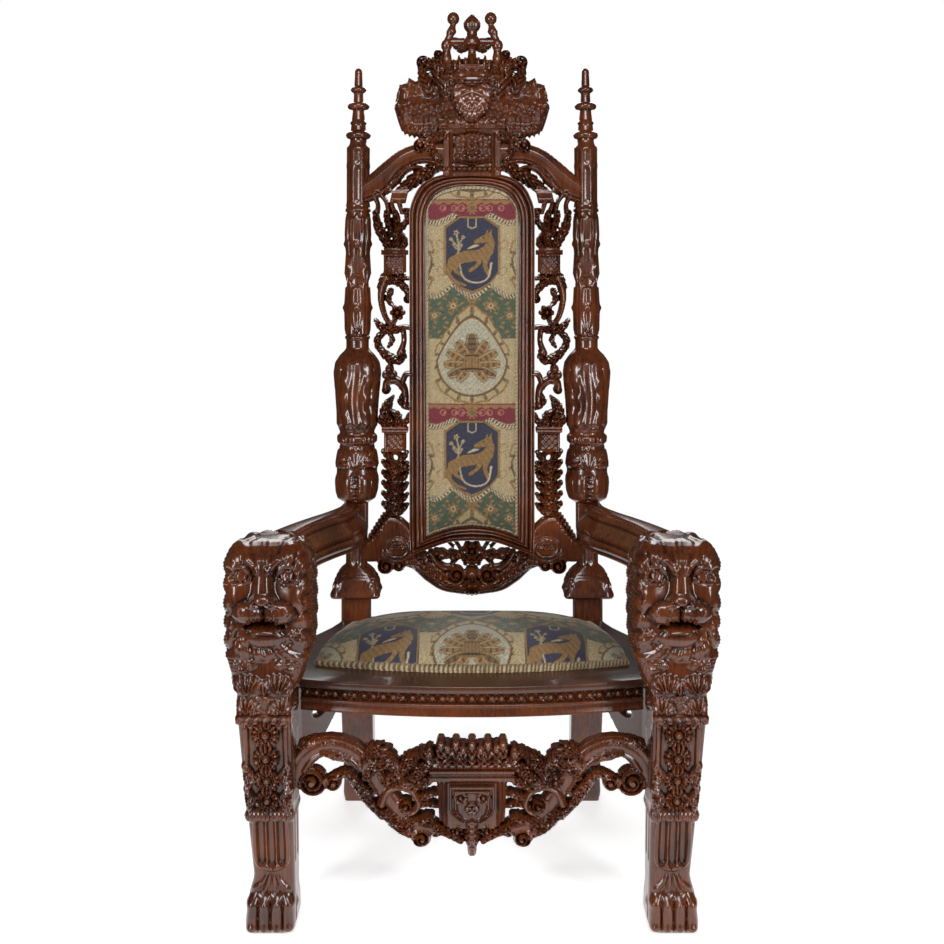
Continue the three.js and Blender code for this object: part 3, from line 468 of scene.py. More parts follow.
# ---- Rear posts ----
# Each post is one long timber that leans back seven degrees: a plain square leg, a bell-shaped drop under
# the arm, a bulb with hanging leaves, a leafy column with flutes above it, and a turned finial of stacked
# rings.
SEAT = 476
LEAN = math.tan(math.radians(7))
POST_TABLE = [  # height, half width, half depth, corner radius
    (0, 36, 34, 8), (24, 39, 37, 8), (60, 36, 33, 5), (250, 37, 33, 5), (455, 32, 32, 3), (527, 32, 32, 3),
    (528, 54, 43, 10), (531, 57, 46, 12), (545, 53, 42, 14), (560, 50, 39, 16), (582, 42, 33, 20),
    (592, 34, 28, 22), (597, 28, 26, 24), (600, 25, 25, 25), (672, 25, 25, 25), (676, 25, 24, 5),
    (741, 25, 24, 5), (744, 30, 30, 28), (752, 42, 42, 42), (769, 47, 47, 47), (790, 48.5, 48.5, 48),
    (815, 47, 47, 47), (850, 42, 42, 42), (868, 38, 38, 38), (876, 39, 39, 39), (880, 44, 44, 44),
    (896, 45, 45, 45), (900, 40, 40, 40), (906, 40, 40, 40), (912, 43, 43, 43), (940, 44, 44, 44),
    (975, 46, 46, 46), (1010, 49, 49, 49), (1040, 50.5, 50.5, 50), (1062, 47, 47, 47), (1080, 38, 38, 38),
    (1090, 29, 29, 29), (1095, 26, 26, 26), (1114, 26, 26, 26), (1117, 29, 29, 29), (1121, 29, 29, 29),
    (1124, 25, 25, 25), (1189, 26.5, 26.5, 26.5), (1235, 24, 24, 24), (1264, 27, 27, 27), (1310, 24, 24, 24),
    (1352, 27, 27, 27), (1396, 25, 25, 25), (1401, 25, 25, 25), (1404, 29, 29, 29), (1409, 29, 29, 29),
    (1412, 26, 26, 26), (1416, 28, 28, 28), (1420, 27, 27, 27), (1540, 27, 27, 27), (1548, 26, 26, 26),
    (1556, 20, 20, 20), (1560, 19, 19, 19),
]
# height, half height and radius of each ring
TURNED_RINGS = ((1575, 8.5, 28.3), (1640, 7.5, 25), (1677, 6, 18), (1603, 4, 19))


def post_x(z):
    """The posts come 8.35 mm closer for each metre up."""
    return 269 - 0.00835 * (z - SEAT)


def post_depth(z):
    """Over the seat the post leans back; under it the leg sweeps back to its foot as a power of the
    drop."""
    return np.where(z > SEAT, 558 + LEAN * (z - SEAT), 558 + 77 * np.clip(1 - z / SEAT, 0, 1) ** 1.6)


def turned(z):
    """Radius of the finial: a taper to the tip, with each ring as an arc that stands out of it."""
    taper = np.interp(z, [1560, 1592, 1629, 1656, 1690, 1716], [19, 17, 13, 11, 9.5, 8.5])
    taper = np.where(z > 1716, 8.5 * np.sqrt(np.clip(1 - ((z - 1716) / 10) ** 2, 0, 1)) + 0.3, taper)
    for height, half, radius in TURNED_RINGS:
        arc = radius - half + np.sqrt(np.clip(half**2 - (z - height) ** 2, 0, None))
        taper = np.where(np.abs(z - height) < half, np.maximum(taper, arc), taper)
    return taper


def lancets(turn, z, foot, tip, count, start, swell=0.55):
    """Leaves round a column, each widest at a share of its length and pointed at its tip, with a sunk
    vein."""
    t = np.clip((z - foot) / (tip - foot), 0, 1)
    widening = 0.75 + 0.25 * np.sin(np.pi / 2 * t / swell)
    narrowing = np.cos(np.pi / 2 * (t - swell) / (1 - swell))
    share = np.where(t < swell, widening, narrowing)
    period = 2 * np.pi / count
    off = (turn - start + period / 2) % period - period / 2
    q = np.abs(off) / (period / 2 * np.clip(share, 0.02, None))
    leaf = np.sqrt(np.clip(1 - q**2, 0, None)) - 0.35 * np.exp(-((q / 0.13) ** 2))
    return np.where((t > 0) & (t < 1), np.clip(leaf, 0, None), 0)


def post_relief(turn, z):
    """The carving round the post, by its angle from the front and its height, as heights in millimetres."""
    cut = np.zeros(z.shape)

    def within(low, high, soft=3):
        return rise(z, low - soft, low + soft) * (1 - rise(z, high - soft, high + soft))

    ribs = np.abs(np.cos(9 * turn))
    cut += within(531, 574) * (4.5 * ribs**0.7 - 2)
    cut += within(606, 668) * -1.8 * np.abs(np.sin(6 * turn)) ** 3
    for corner in range(4):
        middle = np.pi / 2 * corner
        off = (turn - middle + np.pi) % (2 * np.pi) - np.pi
        groove = np.exp(-((off / 0.16) ** 2)) * within(748, 812)
        cut -= 9 * groove
        cut += 7 * groove * np.abs(np.cos(np.pi * z / 9))
        lobe = np.sqrt(np.clip(1 - ((np.abs(off) - 0.47) / 0.36) ** 2, 0, None))
        cut += 4 * lobe * within(750, 806, 8)
        drop = np.clip(1 - np.abs(off) * 44 / (3 + 0.42 * np.clip(z - 826, 0, 44)), 0, 1) * within(828, 864)
        cut += 6 * drop**0.5
        cut += 6 * fan(off * 42, z, 0, 822, 52, 9, 90, 84) * (drop <= 0)
    cut += 3.5 * within(881, 895, 2) * (np.abs(np.cos(12 * turn)) ** 0.6 - 0.4)
    scallop = 916 + 7 * np.abs(np.sin(6 * turn))
    lappet = rise(z, scallop - 1, scallop + 2) * (1 - rise(z, 1062, 1092))
    sway = 0.09 * np.sin(z / 23)
    cut += lappet * (2 + 3.4 * np.abs(np.cos(6 * (turn + sway))) ** 0.7 - 1.6 * np.abs(np.sin(3 * turn)) ** 8)
    cut += 1.6 * within(940, 1050, 12) * np.sin(z / 6.2) * (np.abs(np.sin(2 * turn)) > 0.72)
    quarter = np.pi / 2
    cut = lay(cut, 4 * lancets(turn, z, 1124, 1262, 4, quarter / 2))
    cut = lay(cut, 5 * lancets(turn, z, 1232, 1126, 4, 0, 0.4))
    cut = lay(cut, 5.5 * lancets(turn, z, 1300, 1238, 4, quarter / 2, 0.35))
    cut = lay(cut, 4 * lancets(turn, z, 1262, 1400, 4, 0, 0.45))
    cut = lay(cut, 4.5 * lancets(turn, z, 1388, 1316, 8, quarter / 4, 0.3))
    for bud_z, bud_turn in ((1186, 0), (1282, quarter / 2), (1330, 0)):
        off = (turn - bud_turn + quarter / 2) % quarter - quarter / 2
        cut += 5 * np.exp(-((off * 25 / 5) ** 2) - ((z - bud_z) / 7) ** 2)
    flutes = within(1424, 1500, 4) + within(1512, 1540, 3)
    cut -= 2.6 * flutes * np.abs(np.sin(4 * turn + np.pi / 2)) ** 3
    return cut


def post_places():
    """Places on the right post, after its table is lengthened by the turned finial."""
    rows = [(z, 0, 0, a, b, r) for z, a, b, r in POST_TABLE]
    tall = np.linspace(1562, 1725.8, 76)
    rows += [(z, 0, 0, radius, radius, radius) for z, radius in zip(tall, turned(tall))]
    low = timber([row for row in rows if row[0] <= 528], 9, (24, 24, 24))
    high = timber([row for row in rows if row[0] >= 528], 3.4, (24, 24, 24))
    return [np.vstack([a, b]) for a, b in zip(low, high)]


px, py, pz, pnx, pny = post_places()
post_cut = post_relief(np.arctan2(pnx, -pny), pz)
px = px + post_cut * pnx
py = py + post_cut * pny
post_piece = np.stack([px + post_x(pz), py + post_depth(pz), pz], axis=-1)
post_faces = tube_faces(*px.shape)
# Painted shade in the hollows of the post's carving, partly also its dark glaze.
post_hollow_shade = hollowness(post_cut, 2, 3.0) * 0.8
set_pair("rear_post", "carved", post_piece, post_faces, post_hollow_shade)


# ---- Crest ----
# One board of mahogany, carved in high relief and pierced: a framed block, a heart-shaped shield between
# two rolled wings, curled leaves, a coronet with leaf teeth, and two turned horns with a fluted dome
# between them.
BACK_FRONT = 528


class Board:
    """A board carved and pierced from its front. Over a grid of places it keeps how far inside the outline
    each one lies and how high the carving stands over the board's flat back, both in millimetres."""

    def __init__(self, left, right, low, high, step, twin=False):
        across = np.arange(left, right + step / 2, step)
        if twin:
            across -= (across[0] + across[-1]) / 2
        self.step = step
        self.x, self.z = np.meshgrid(across, np.arange(low, high + step / 2, step))
        self.u = np.abs(self.x) if twin else self.x
        self.inside = np.full(self.x.shape, -9.0)
        self.height = np.zeros(self.x.shape)

    def add(self, inside, height):
        """A form joins the board: the outlines unite, and the higher carving stays on top."""
        self.inside = np.maximum(self.inside, inside)
        self.height = np.where(inside > -1.7 * self.step, np.maximum(self.height, height), self.height)

    def pierce(self, inside):
        """A hole through the board."""
        self.inside = np.minimum(self.inside, -inside)

    def near(self, points, reach):
        """The part of the grid round some points, as slices."""
        line = np.array(points, float)
        low_u, low_z = line.min(axis=0) - reach
        high_u, high_z = line.max(axis=0) + reach
        columns = np.flatnonzero((self.u[0] > low_u) & (self.u[0] < high_u))
        rows = np.flatnonzero((self.z[:, 0] > low_z) & (self.z[:, 0] < high_z))
        if not len(columns) or not len(rows):
            return None
        return slice(rows[0], rows[-1] + 1), slice(columns[0], columns[-1] + 1)

    def add_near(self, points, reach, form):
        """Works a form out only round its points; form takes x and z and gives inside and height."""
        where = self.near(points, reach)
        if where is None:
            return
        inside, height = form(self.u[where], self.z[where])
        self.inside[where] = np.maximum(self.inside[where], inside)
        met = inside > -1.7 * self.step
        self.height[where] = np.where(met, np.maximum(self.height[where], height), self.height[where])

    def stem(self, points, halves, low, high, groove=0.0):
        """A round stem along a smooth line: half an ellipse across, with a groove beside each edge if
        asked."""
        def form(x, z):
            off, along = follow(x, z, points, 16)
            half = np.interp(along, np.linspace(0, 1, len(halves)), halves)
            q = np.clip(np.abs(off) / half, 0, 1)
            height = low + (high - low) * np.sqrt(1 - q**2) - groove * np.exp(-(((q - 0.55) / 0.12) ** 2))
            return half - np.abs(off), height
        self.add_near(points, max(halves) + 4, form)

    def leaf(self, points, halves, low, high, lobes=5, notch=0.3, vein=3.0):
        """An acanthus leaf along a smooth line: the half width dips between its lobes, the lobes sweep
        forward as round ridges, and the middle vein is a sharp groove."""
        def form(x, z):
            off, along = follow(x, z, points, 16)
            half = np.interp(along, np.linspace(0, 1, len(halves)), halves)
            q = np.abs(off) / half
            lobe = np.abs(np.sin(np.pi * (lobes * along - 0.36 * lobes * q + 0.15)))
            edge = half * (1 - notch + notch * lobe**0.6)
            inner = np.clip(np.abs(off) / edge, 0, 1)
            blade = np.sqrt(1 - inner**2) * (0.55 + 0.45 * lobe**0.6)
            height = low + (high - low) * blade - vein * np.exp(-((off / 1.6) ** 2)) * (inner < 0.9)
            return edge - np.abs(off), height
        self.add_near(points, max(halves) + 4, form)

    def ball(self, x, z, radius, low, high):
        """A half ball."""
        def form(u, v):
            away = np.hypot(u - x, v - z)
            return radius - away, low + (high - low) * np.sqrt(np.clip(1 - (away / radius) ** 2, 0, 1))
        self.add_near([(x, z)], radius + 4, form)

    def whorl(self, x, z, radius, low, high, hand=1, turns=2.0):
        """The eye of a scroll: a groove winds out of a button as a spiral, by angle plus turns times
        radius."""
        def form(u, v):
            away = np.hypot(u - x, v - z)
            share = np.clip(away / radius, 0, 1)
            wind = np.cos(hand * np.arctan2(v - z, u - x) + 2 * np.pi * turns * share)
            coil = (0.62 + 0.38 * wind) * (share > 0.22) + (share <= 0.22)
            return radius - away, low + (high - low) * coil * np.sqrt(1 - 0.6 * share**2)
        self.add_near([(x, z)], radius + 4, form)

    def blossom(self, x, z, radius, low, high, petals=6):
        """A flower of round petals about a bud."""
        def form(u, v):
            away = np.hypot(u - x, v - z)
            petal = np.abs(np.cos(petals * np.arctan2(v - z, u - x) / 2))
            edge = radius * (0.72 + 0.28 * petal)
            height = flower(u, v, x, z, radius, petals)
            return edge - away, low + (high - low) * np.clip(height, 0, 1.2)
        self.add_near([(x, z)], radius + 4, form)

    def palmette(self, x, z, radius, low, high, blades, aim, spread):
        """A fan of blades that joins the board."""
        def form(u, v):
            height = fan(u, v, x, z, radius, blades, aim, spread)
            away = np.hypot(u - x, v - z)
            angle = (np.degrees(np.arctan2(v - z, u - x)) - aim + 180) % 360 - 180
            blade = np.abs(np.cos(np.pi * blades * angle / (2 * spread)))
            edge = radius * (1 - 0.16 * (1 - blade))
            inside = np.minimum(edge - away, np.radians(spread - np.abs(angle)) * away)
            return inside, low + (high - low) * height
        self.add_near([(x, z)], radius + 4, form)

    def skin(self, depth):
        """The board's surface. Each cell with a corner inside the outline is kept; its outer corners are
        slid down the slope of "inside" on to the outline; and walls run round the rim from the front to the
        flat back. The function depth gives places from x, z and the height over the back."""
        keep = self.inside > 0
        cells = keep[:-1, :-1] | keep[:-1, 1:] | keep[1:, :-1] | keep[1:, 1:]
        used = np.zeros(keep.shape, bool)
        for rows, columns in ((slice(0, -1), slice(0, -1)), (slice(0, -1), slice(1, None)),
                              (slice(1, None), slice(0, -1)), (slice(1, None), slice(1, None))):
            used[rows, columns] |= cells
        slope_z, slope_x = np.gradient(self.inside, self.step)
        steep = np.clip(slope_x**2 + slope_z**2, 0.15, None)
        slide = np.where(used & ~keep, np.clip(-self.inside / steep, 0, 1.1 * self.step), 0)
        size = np.sqrt(steep)
        x = self.x + slide * slope_x / size
        z = self.z + slide * slope_z / size
        number = np.cumsum(used).reshape(used.shape) - 1
        count = int(used.sum())
        # Painted shade in the carving's hollows, partly also its dark glaze.
        hollow_shade = hollowness(self.height, 2, 6.0)[used]
        chamfer = 3 * (1 - np.clip(self.inside / 5, 0, 1))
        front = depth(x[used], z[used], self.height[used])
        back = depth(x[used], z[used], chamfer[used])
        places = np.vstack([front, back])
        i, j = np.nonzero(cells)
        a, b, c, d = number[i, j], number[i, j + 1], number[i + 1, j + 1], number[i + 1, j]
        faces = [np.stack([a, b, c, d], -1), np.stack([d, c, b, a], -1) + count]
        padded_cells = np.pad(cells, 1)
        sides = (((-1, 0), (a, b)), ((0, 1), (b, c)), ((1, 0), (c, d)), ((0, -1), (d, a)))
        for (down, right), (start, end) in sides:
            rim = ~padded_cells[i + 1 + down, j + 1 + right]
            start, end = start[rim], end[rim]
            faces.append(np.stack([end, start, start + count, end + count], -1))
        # The flat back takes a fixed painted shade of 0.3, so the walls grow darker towards it.
        return places, np.vstack(faces).tolist(), np.r_[hollow_shade, 0.3 * np.ones(count)]


def leaning(back):
    """Places on the chair's back: the board's flat back lies the given depth behind the leaning front
    plane."""
    def depth(x, z, height):
        return np.stack([x, BACK_FRONT + LEAN * (z - SEAT) + back - height, z], axis=-1)
    return depth


def gathered(shells):
    """Several closed shells as one list of places, faces and painted shade."""
    places, faces, hollow_shade = [], [], []
    count = 0
    for shell_places, shell_faces, shell_shade in shells:
        shell_places = shell_places.reshape(-1, 3)
        places.append(shell_places)
        faces += [[corner + count for corner in face] for face in shell_faces]
        hollow_shade.append(np.asarray(shell_shade).ravel())
        count += len(shell_places)
    return np.vstack(places), faces, np.concatenate(hollow_shade)


def spindle(rows, carve=None):
    """A turned stick in the leaning back: rows of middle x, height and radius, 24 mm behind the front
    plane."""
    table = [(z, x, 24, radius, radius, radius) for x, z, radius in rows]
    x, y, z, nx, ny = timber(table, 1.8, (10, 10, 10))
    lift = carve(np.arctan2(nx, -ny), z) if carve else 0 * z
    places = np.stack([x + lift * nx, BACK_FRONT + LEAN * (z - SEAT) + y + lift * ny, z], axis=-1)
    # The third list is painted shade in the stick's grooves.
    return places, tube_faces(*x.shape), hollowness(lift, 1, 2.0)


def arc_rows(x, z, radius, start=-80, end=88, rise_by=12):
    """Rows of a ball on a stick, from one latitude to another in degrees."""
    return [(x, z + radius * math.sin(math.radians(k)), max(0.4, radius * math.cos(math.radians(k))))
            for k in np.linspace(start, end, rise_by)]


crest = Board(-178, 178, 1483, 1795, 2.2, twin=True)
cu, cz = crest.u, crest.z
# the wings: a serrated upper ridge, a smooth valley, a carved roll, a smooth band and a ragged fringe
wing_top = np.interp(cu, [24, 66, 104, 121, 126, 143, 149, 166, 172, 177],
                     [1690, 1694, 1692, 1703, 1694, 1703, 1690, 1688, 1668, 1636])
wing_low = np.interp(cu, [24, 60, 85, 100, 117, 137, 152, 160, 169, 177],
                     [1592, 1590, 1574, 1571, 1566, 1570, 1575, 1584, 1609, 1636])
wing_low += 6 * np.abs(np.sin(np.pi * cu / 11)) * rise(cu, 84, 96) * (1 - rise(cu, 156, 162))
wing_share = np.clip((cz - wing_low) / (wing_top - wing_low + 1e-6), 0, 1)
wing_height = np.interp(wing_share, [0, 0.06, 0.16, 0.22, 0.3, 0.4, 0.52, 0.6, 0.7, 0.8, 0.9, 1],
                        [22, 32, 36, 31, 37, 45, 46, 40, 30, 31, 38, 26])
wing_height -= 12 * rise(cu, 150, 178)
roll = rise(wing_share, 0.3, 0.36) * (1 - rise(wing_share, 0.56, 0.62))
scales = np.abs(np.cos(np.pi * (cu - 0.4 * (cz - 1630)) / 15)) * np.abs(np.cos(np.pi * (cz + 0.35 * cu) / 17))
wing_height += roll * (7 * scales**0.7 - 3.5)
fringe = 1 - rise(wing_share, 0.14, 0.22)
wing_height += fringe * (6 * np.abs(np.sin(np.pi * (cu + 0.3 * (cz - 1580)) / 11)) ** 0.6 - 3)
ridge_cut = rise(wing_share, 0.76, 0.84)
wing_height -= 3 * ridge_cut * np.abs(np.sin(np.pi * (cu - 0.9 * (cz - 1690)) / 19)) ** 4
wing_height -= 2.5 * np.exp(-(((wing_share - 0.7 - 0.03 * np.sin(cu / 9)) / 0.03) ** 2))
crest.add(np.minimum(np.minimum(wing_top - cz, cz - wing_low) * 0.8, 177 - cu), wing_height)
# leaves that curl up on the wings' shoulders
crest.leaf([(58, 1664), (72, 1700), (84, 1730), (104, 1742)], [20, 20, 15, 8], 20, 45, 5)
crest.leaf([(98, 1676), (108, 1700), (116, 1722)], [18, 17, 9], 20, 43, 4)
crest.whorl(110, 1735, 16, 22, 46, hand=-1)
crest.leaf([(52, 1680), (64, 1712), (72, 1744)], [14, 13, 8], 18, 42, 4)
crest.whorl(76, 1753, 11, 22, 42, hand=1)
crest.ball(99, 1728, 8, 24, 47)
crest.leaf([(44, 1700), (52, 1716), (50, 1736)], [10, 9, 4], 18, 40, 3)
# the block with its cartouche, and the cap over it
block = np.minimum(66 - cu, np.minimum(cz - 1483, 1590 - cz))
block_height = np.interp(66 - cu, [0, 2, 6, 7.5, 9, 13, 15, 17, 19, 23, 26],
                         [34, 40, 41, 37, 41, 41, 36, 41, 41, 34, 36])
cartouche = np.minimum(47 - cu, np.minimum(cz - 1512, 1580 - cz) + 6 * np.exp(-((cu / 16) ** 2)))
spray = np.abs(np.cos(7 * np.arctan2(cz - 1528, cu + 1e-6))) * np.abs(np.cos(np.hypot(cu, cz - 1528) / 5.2))
block_height = np.where(cartouche > 0, np.interp(cartouche, [0, 2, 4, 6, 9], [43, 43, 37, 33, 33]),
                        block_height)
block_height += np.where(cartouche > 7, 7 * spray**0.8, 0)
crest.add(block, block_height)
crest.blossom(0, 1543, 17, 34, 44, 8)
for bead in range(6):
    crest.ball(6 + 11.5 * bead, 1498, 5.6, 36, 46)
cap = np.minimum(73 - cu, np.minimum(cz - 1585, 1606 - cz))
crest.add(cap, np.interp(cz, [1585, 1589, 1591, 1597, 1599, 1606], [40, 46, 43, 47, 44, 38]))
crest.leaf([(64, 1596), (34, 1606), (4, 1592)], [10, 12, 6], 36, 50, 5)
# the body behind the shield, and the shield with its raised rim
crest.add(np.minimum(56 - cu, np.minimum(cz - 1596, 1702 - cz)), 34 + 3 * np.cos(cz / 4.0) * np.cos(cu / 4.5))
shield_half = np.interp(cz, [1600, 1606, 1618, 1634, 1652, 1670, 1690], [3, 14, 27, 39, 48, 49, 45])
shield = np.minimum(np.minimum(shield_half - cu, cz - 1599), 1691 - 4 * np.cos(cu / 9) - cz)
inner_leaves = 3.4 * np.abs(np.cos(5 * np.arctan2(cz - 1620, cu + 1e-6)))
inner_leaves *= np.abs(np.cos(np.hypot(cu, cz - 1620) / 6))
shield_height = np.interp(shield, [0, 1.5, 4, 6, 9, 24], [40, 52, 52, 44, 45, 48])
crest.add(shield, shield_height + np.where(shield > 8, inner_leaves, 0))
crest.leaf([(50, 1610), (26, 1600), (4, 1606)], [9, 9, 5], 34, 51, 4)
# coronet bands and leaf teeth, round in plan
drum = 21 + 23 * np.sqrt(np.clip(1 - (cu / 46) ** 2, 0, 1))
band_form = np.interp(cz, [1694, 1697, 1700, 1703, 1706, 1709, 1712, 1713, 1722, 1726],
                      [-3, 2, 0, 3, 0, 3, 0, -2, -2, 2])
crest.add(np.minimum(np.interp(cz, [1694, 1704, 1726], [38, 43, 41]) - cu, np.minimum(cz - 1693, 1727 - cz)),
          drum + band_form + np.where((cz > 1713) & (cz < 1722), 1.6 * np.cos(2 * np.pi * cu / 5), 0))
for tooth, tall in ((0, 1754), (14, 1748), (27, 1752), (38, 1744)):
    crest.stem([(tooth, 1722), (tooth * 1.04, 1736), (tooth * 1.08, tall - 4)], [6, 7, 5], 20, 42, 3)
# the bar between the horns, and the tufts under it
bar_top = 1791 + 3 * np.exp(-(((cu - 40) / 12) ** 2))
bar = np.minimum(48 - cu, np.minimum(cz - 1776, bar_top - cz))
crest.add(bar, 20 + 8 * dome(0 * cz, cz, 0, 1783, 9, 10))
crest.leaf([(14, 1772), (26, 1768), (40, 1776)], [8, 8, 5], 14, 30, 4)
# scrolled leaves beside the block, lying over the shoulder rails
crest.leaf([(64, 1572), (92, 1566), (120, 1556)], [12, 14, 9], 32, 52, 5)
crest.whorl(118, 1549, 15, 34, 54, hand=1)
crest.leaf([(100, 1548), (84, 1530), (74, 1500)], [12, 12, 6], 30, 50, 4)
crest.ball(90, 1551, 7, 36, 54)
horn = [(48, 1696, 10), (50, 1712, 12), (53, 1730, 13), (57, 1744, 11), (58, 1760, 9.5), (58, 1766, 9.5),
        (58, 1770, 12),
        (58, 1777, 13), (57, 1784, 12), (55, 1788, 9.5), (50, 1798, 9), (48, 1802, 11), (47, 1807, 12),
        (46, 1812, 10),
        (45, 1817, 8)]
horn += arc_rows(42.5, 1835.5, 14.5, -62)
horn_shell = spindle(horn, lambda turn, z: 0.9 * np.cos(3 * turn + z / 5) * (z < 1762))
dome_rows = [(0, 1722, 12), (0, 1744, 12), (0, 1760, 9), (0, 1766, 9), (0, 1772, 15), (0, 1776, 21),
             (0, 1786, 21),
             (0, 1791, 18), (0, 1797, 13), (0, 1806, 12), (0, 1810, 16), (0, 1816, 19), (0, 1824, 20.5),
             (0, 1832, 18),
             (0, 1838, 11), (0, 1843, 4), (0, 1845, 0.5)]
dome_shell = spindle(dome_rows, lambda turn, z: -1.5 * np.abs(np.sin(4 * turn)) ** 2 * rise(z, 1808, 1814))
left_horn = mirrored(horn_shell[0], horn_shell[1])
crest_shells = [crest.skin(leaning(43)), horn_shell, (*left_horn, horn_shell[2]), dome_shell]
set_down("crest_carved", "crest", *gathered(crest_shells), mahogany)


# ---- Shoulder rails ----
# A swept rail runs from each post up to the crest, smooth on its face with a bead along its lower edge; a
# long leaf, a polished stem and a small corbel are carved in one with it and hang under it.
yoke_x = [60, 67.5, 118, 161, 196, 228, 264]
yoke = Board(64, 264, 1398, 1562, 1.9)
yu, yz = yoke.u, yoke.z
yoke_line = bend([(x, z) for x, z in zip(yoke_x, (1560, 1560, 1557, 1543, 1518, 1491, 1461))], 60)
yoke_under = bend([(x, z) for x, z in zip(yoke_x, (1506, 1506, 1512, 1490, 1448, 1428, 1420))], 60)
yoke_top = np.interp(yu, *yoke_line.T)
yoke_low = np.interp(yu, *yoke_under.T)
yoke_share = np.clip((yz - yoke_low) / (yoke_top - yoke_low), 0, 1)
yoke.add(np.minimum(np.minimum(yoke_top - yz, yz - yoke_low) * 0.8, np.minimum(yu - 62, 263 - yu)),
         np.interp(yoke_share, [0, 0.06, 0.12, 0.16, 0.24, 0.45, 0.7, 0.9, 1], [27, 36, 36, 30, 35, 38, 38, 34, 26]))
yoke.stem([(196, 1446), (172, 1472), (150, 1497), (122, 1503), (104, 1497)], [4, 6, 6, 5, 3], 18, 40)
yoke.leaf([(80, 1508), (104, 1492), (132, 1476), (164, 1450)], [14, 16, 17, 12], 14, 40, 6)
yoke.whorl(100, 1482, 12, 18, 40, hand=-1)
yoke.ball(122, 1489, 7, 22, 42)
corbel = np.interp(yz, [1424, 1446, 1450], [13, 18, 19]) - np.abs(yu - 165.5)
corbel = np.minimum(corbel, np.minimum(yz - 1423, 1450 - yz))
yoke.add(corbel, np.interp(yz, [1423, 1428, 1432, 1444, 1446, 1450], [30, 36, 34, 38, 40, 38]))
for hanger in ([(167, 1426), (164, 1412), (158, 1398)], [(224, 1438), (216, 1420), (218, 1398)],
               [(206, 1440), (196, 1424), (190, 1398)], [(180, 1436), (184, 1420), (176, 1398)]):
    yoke.stem(hanger, [6, 5, 6], 14, 34)
yoke.leaf([(244, 1452), (214, 1446), (188, 1452)], [8, 10, 5], 20, 38, 4)
yoke_skin = yoke.skin(leaning(44))
set_pair("shoulder_rail", "carved", *yoke_skin)


# ---- Pierced strips ----
# A long pierced carving fills the space between each post and the frame: a leafy bell, a square block, open
# scrolls with a flower, a small trefoil, a second block, and a column of leaves down to the lower rail.
strip = Board(138, 230, 714, 1412, 1.9)
su, sz = strip.u, strip.z


def strip_block(top, low, middle, half):
    """A square block under a moulded cap, with a low flower on its face."""
    body = np.minimum(half - np.abs(su - middle), np.minimum(sz - low, top - sz))
    face = np.interp(half - np.abs(su - middle), [0, 2, 5, 6, 8], [30, 36, 36, 32, 33])
    petals = 2.5 * np.cos(np.pi * (su - middle) / 7) * np.cos(np.pi * (sz - low) / 8)
    strip.add(body, face + petals * (body > 7))
    cap_form = np.minimum(half + 5 - np.abs(su - middle), np.minimum(sz - top + 10, top + 1 - sz))
    strip.add(cap_form, np.interp(sz, [top - 10, top - 7, top - 5, top - 2, top], [36, 40, 36, 42, 38]))
    for tooth in range(-3, 4):
        strip.ball(middle + 7 * tooth, top - 12, 3.4, 30, 40)


# the bell of leaves over the upper cap
strip.leaf([(182, 1312), (198, 1340), (214, 1368), (222, 1402)], [12, 13, 12, 7], 14, 40, 6)
strip.leaf([(174, 1312), (172, 1340), (170, 1372), (176, 1402)], [11, 12, 11, 8], 14, 42, 6)
strip.leaf([(166, 1314), (154, 1334), (160, 1352)], [9, 8, 6], 14, 38, 4)
strip.leaf([(150, 1410), (148, 1386), (162, 1368), (176, 1350)], [8, 8, 9, 8], 12, 38, 5)
strip.leaf([(196, 1402), (192, 1380), (184, 1352)], [8, 10, 8], 12, 40, 4)
strip.stem([(142, 1394), (140, 1378)], [5, 5], 10, 30)
strip_block(1316, 1266, 176.5, 25)
# under the block: a leaf spills both ways, and the first scroll opens with a flower in it
strip.leaf([(172, 1266), (160, 1256), (146, 1252)], [10, 9, 5], 14, 38, 4)
strip.leaf([(188, 1266), (202, 1252), (214, 1232)], [12, 12, 5], 14, 40, 4)
strip.stem([(196, 1256), (207, 1226), (208, 1196), (198, 1162), (184, 1148)], [10, 9, 7, 6, 6], 14, 40, 3)
strip.leaf([(190, 1248), (172, 1246), (152, 1228), (146, 1210)], [11, 11, 9, 5], 14, 40, 5)
strip.leaf([(186, 1226), (192, 1204), (182, 1190)], [7, 8, 4], 12, 34, 3)
strip.whorl(147, 1206, 10, 14, 38, hand=1)
strip.blossom(171, 1175, 18, 16, 42, 6)
strip.stem([(176, 1162), (182, 1150), (188, 1140)], [6, 6, 7], 12, 36)
# the second scroll: a pair of stems from a crossing leaf
strip.leaf([(222, 1158), (208, 1142), (186, 1136), (160, 1138)], [5, 10, 11, 8], 14, 42, 5)
strip.stem([(166, 1140), (150, 1142), (138, 1138)], [7, 6, 5], 12, 36)
strip.stem([(158, 1136), (157, 1108), (166, 1082)], [6, 6, 8], 14, 38, 2)
strip.leaf([(198, 1134), (217, 1116), (214, 1096), (200, 1082)], [8, 9, 9, 8], 14, 40, 5)
strip.leaf([(190, 1132), (184, 1112), (192, 1098)], [6, 7, 5], 12, 34, 3)
strip.leaf([(206, 1084), (186, 1070), (166, 1064)], [10, 13, 8], 14, 42, 4)
strip.leaf([(160, 1092), (158, 1074), (168, 1060)], [6, 8, 5], 14, 40, 3)
strip.stem([(186, 1066), (190, 1056), (190, 1048)], [5, 4, 6], 12, 34)
for turn in (0, 120, 240):
    strip.ball(190 + 9 * math.sin(math.radians(turn)), 1038 + 9 * math.cos(math.radians(turn)), 10, 16, 40)
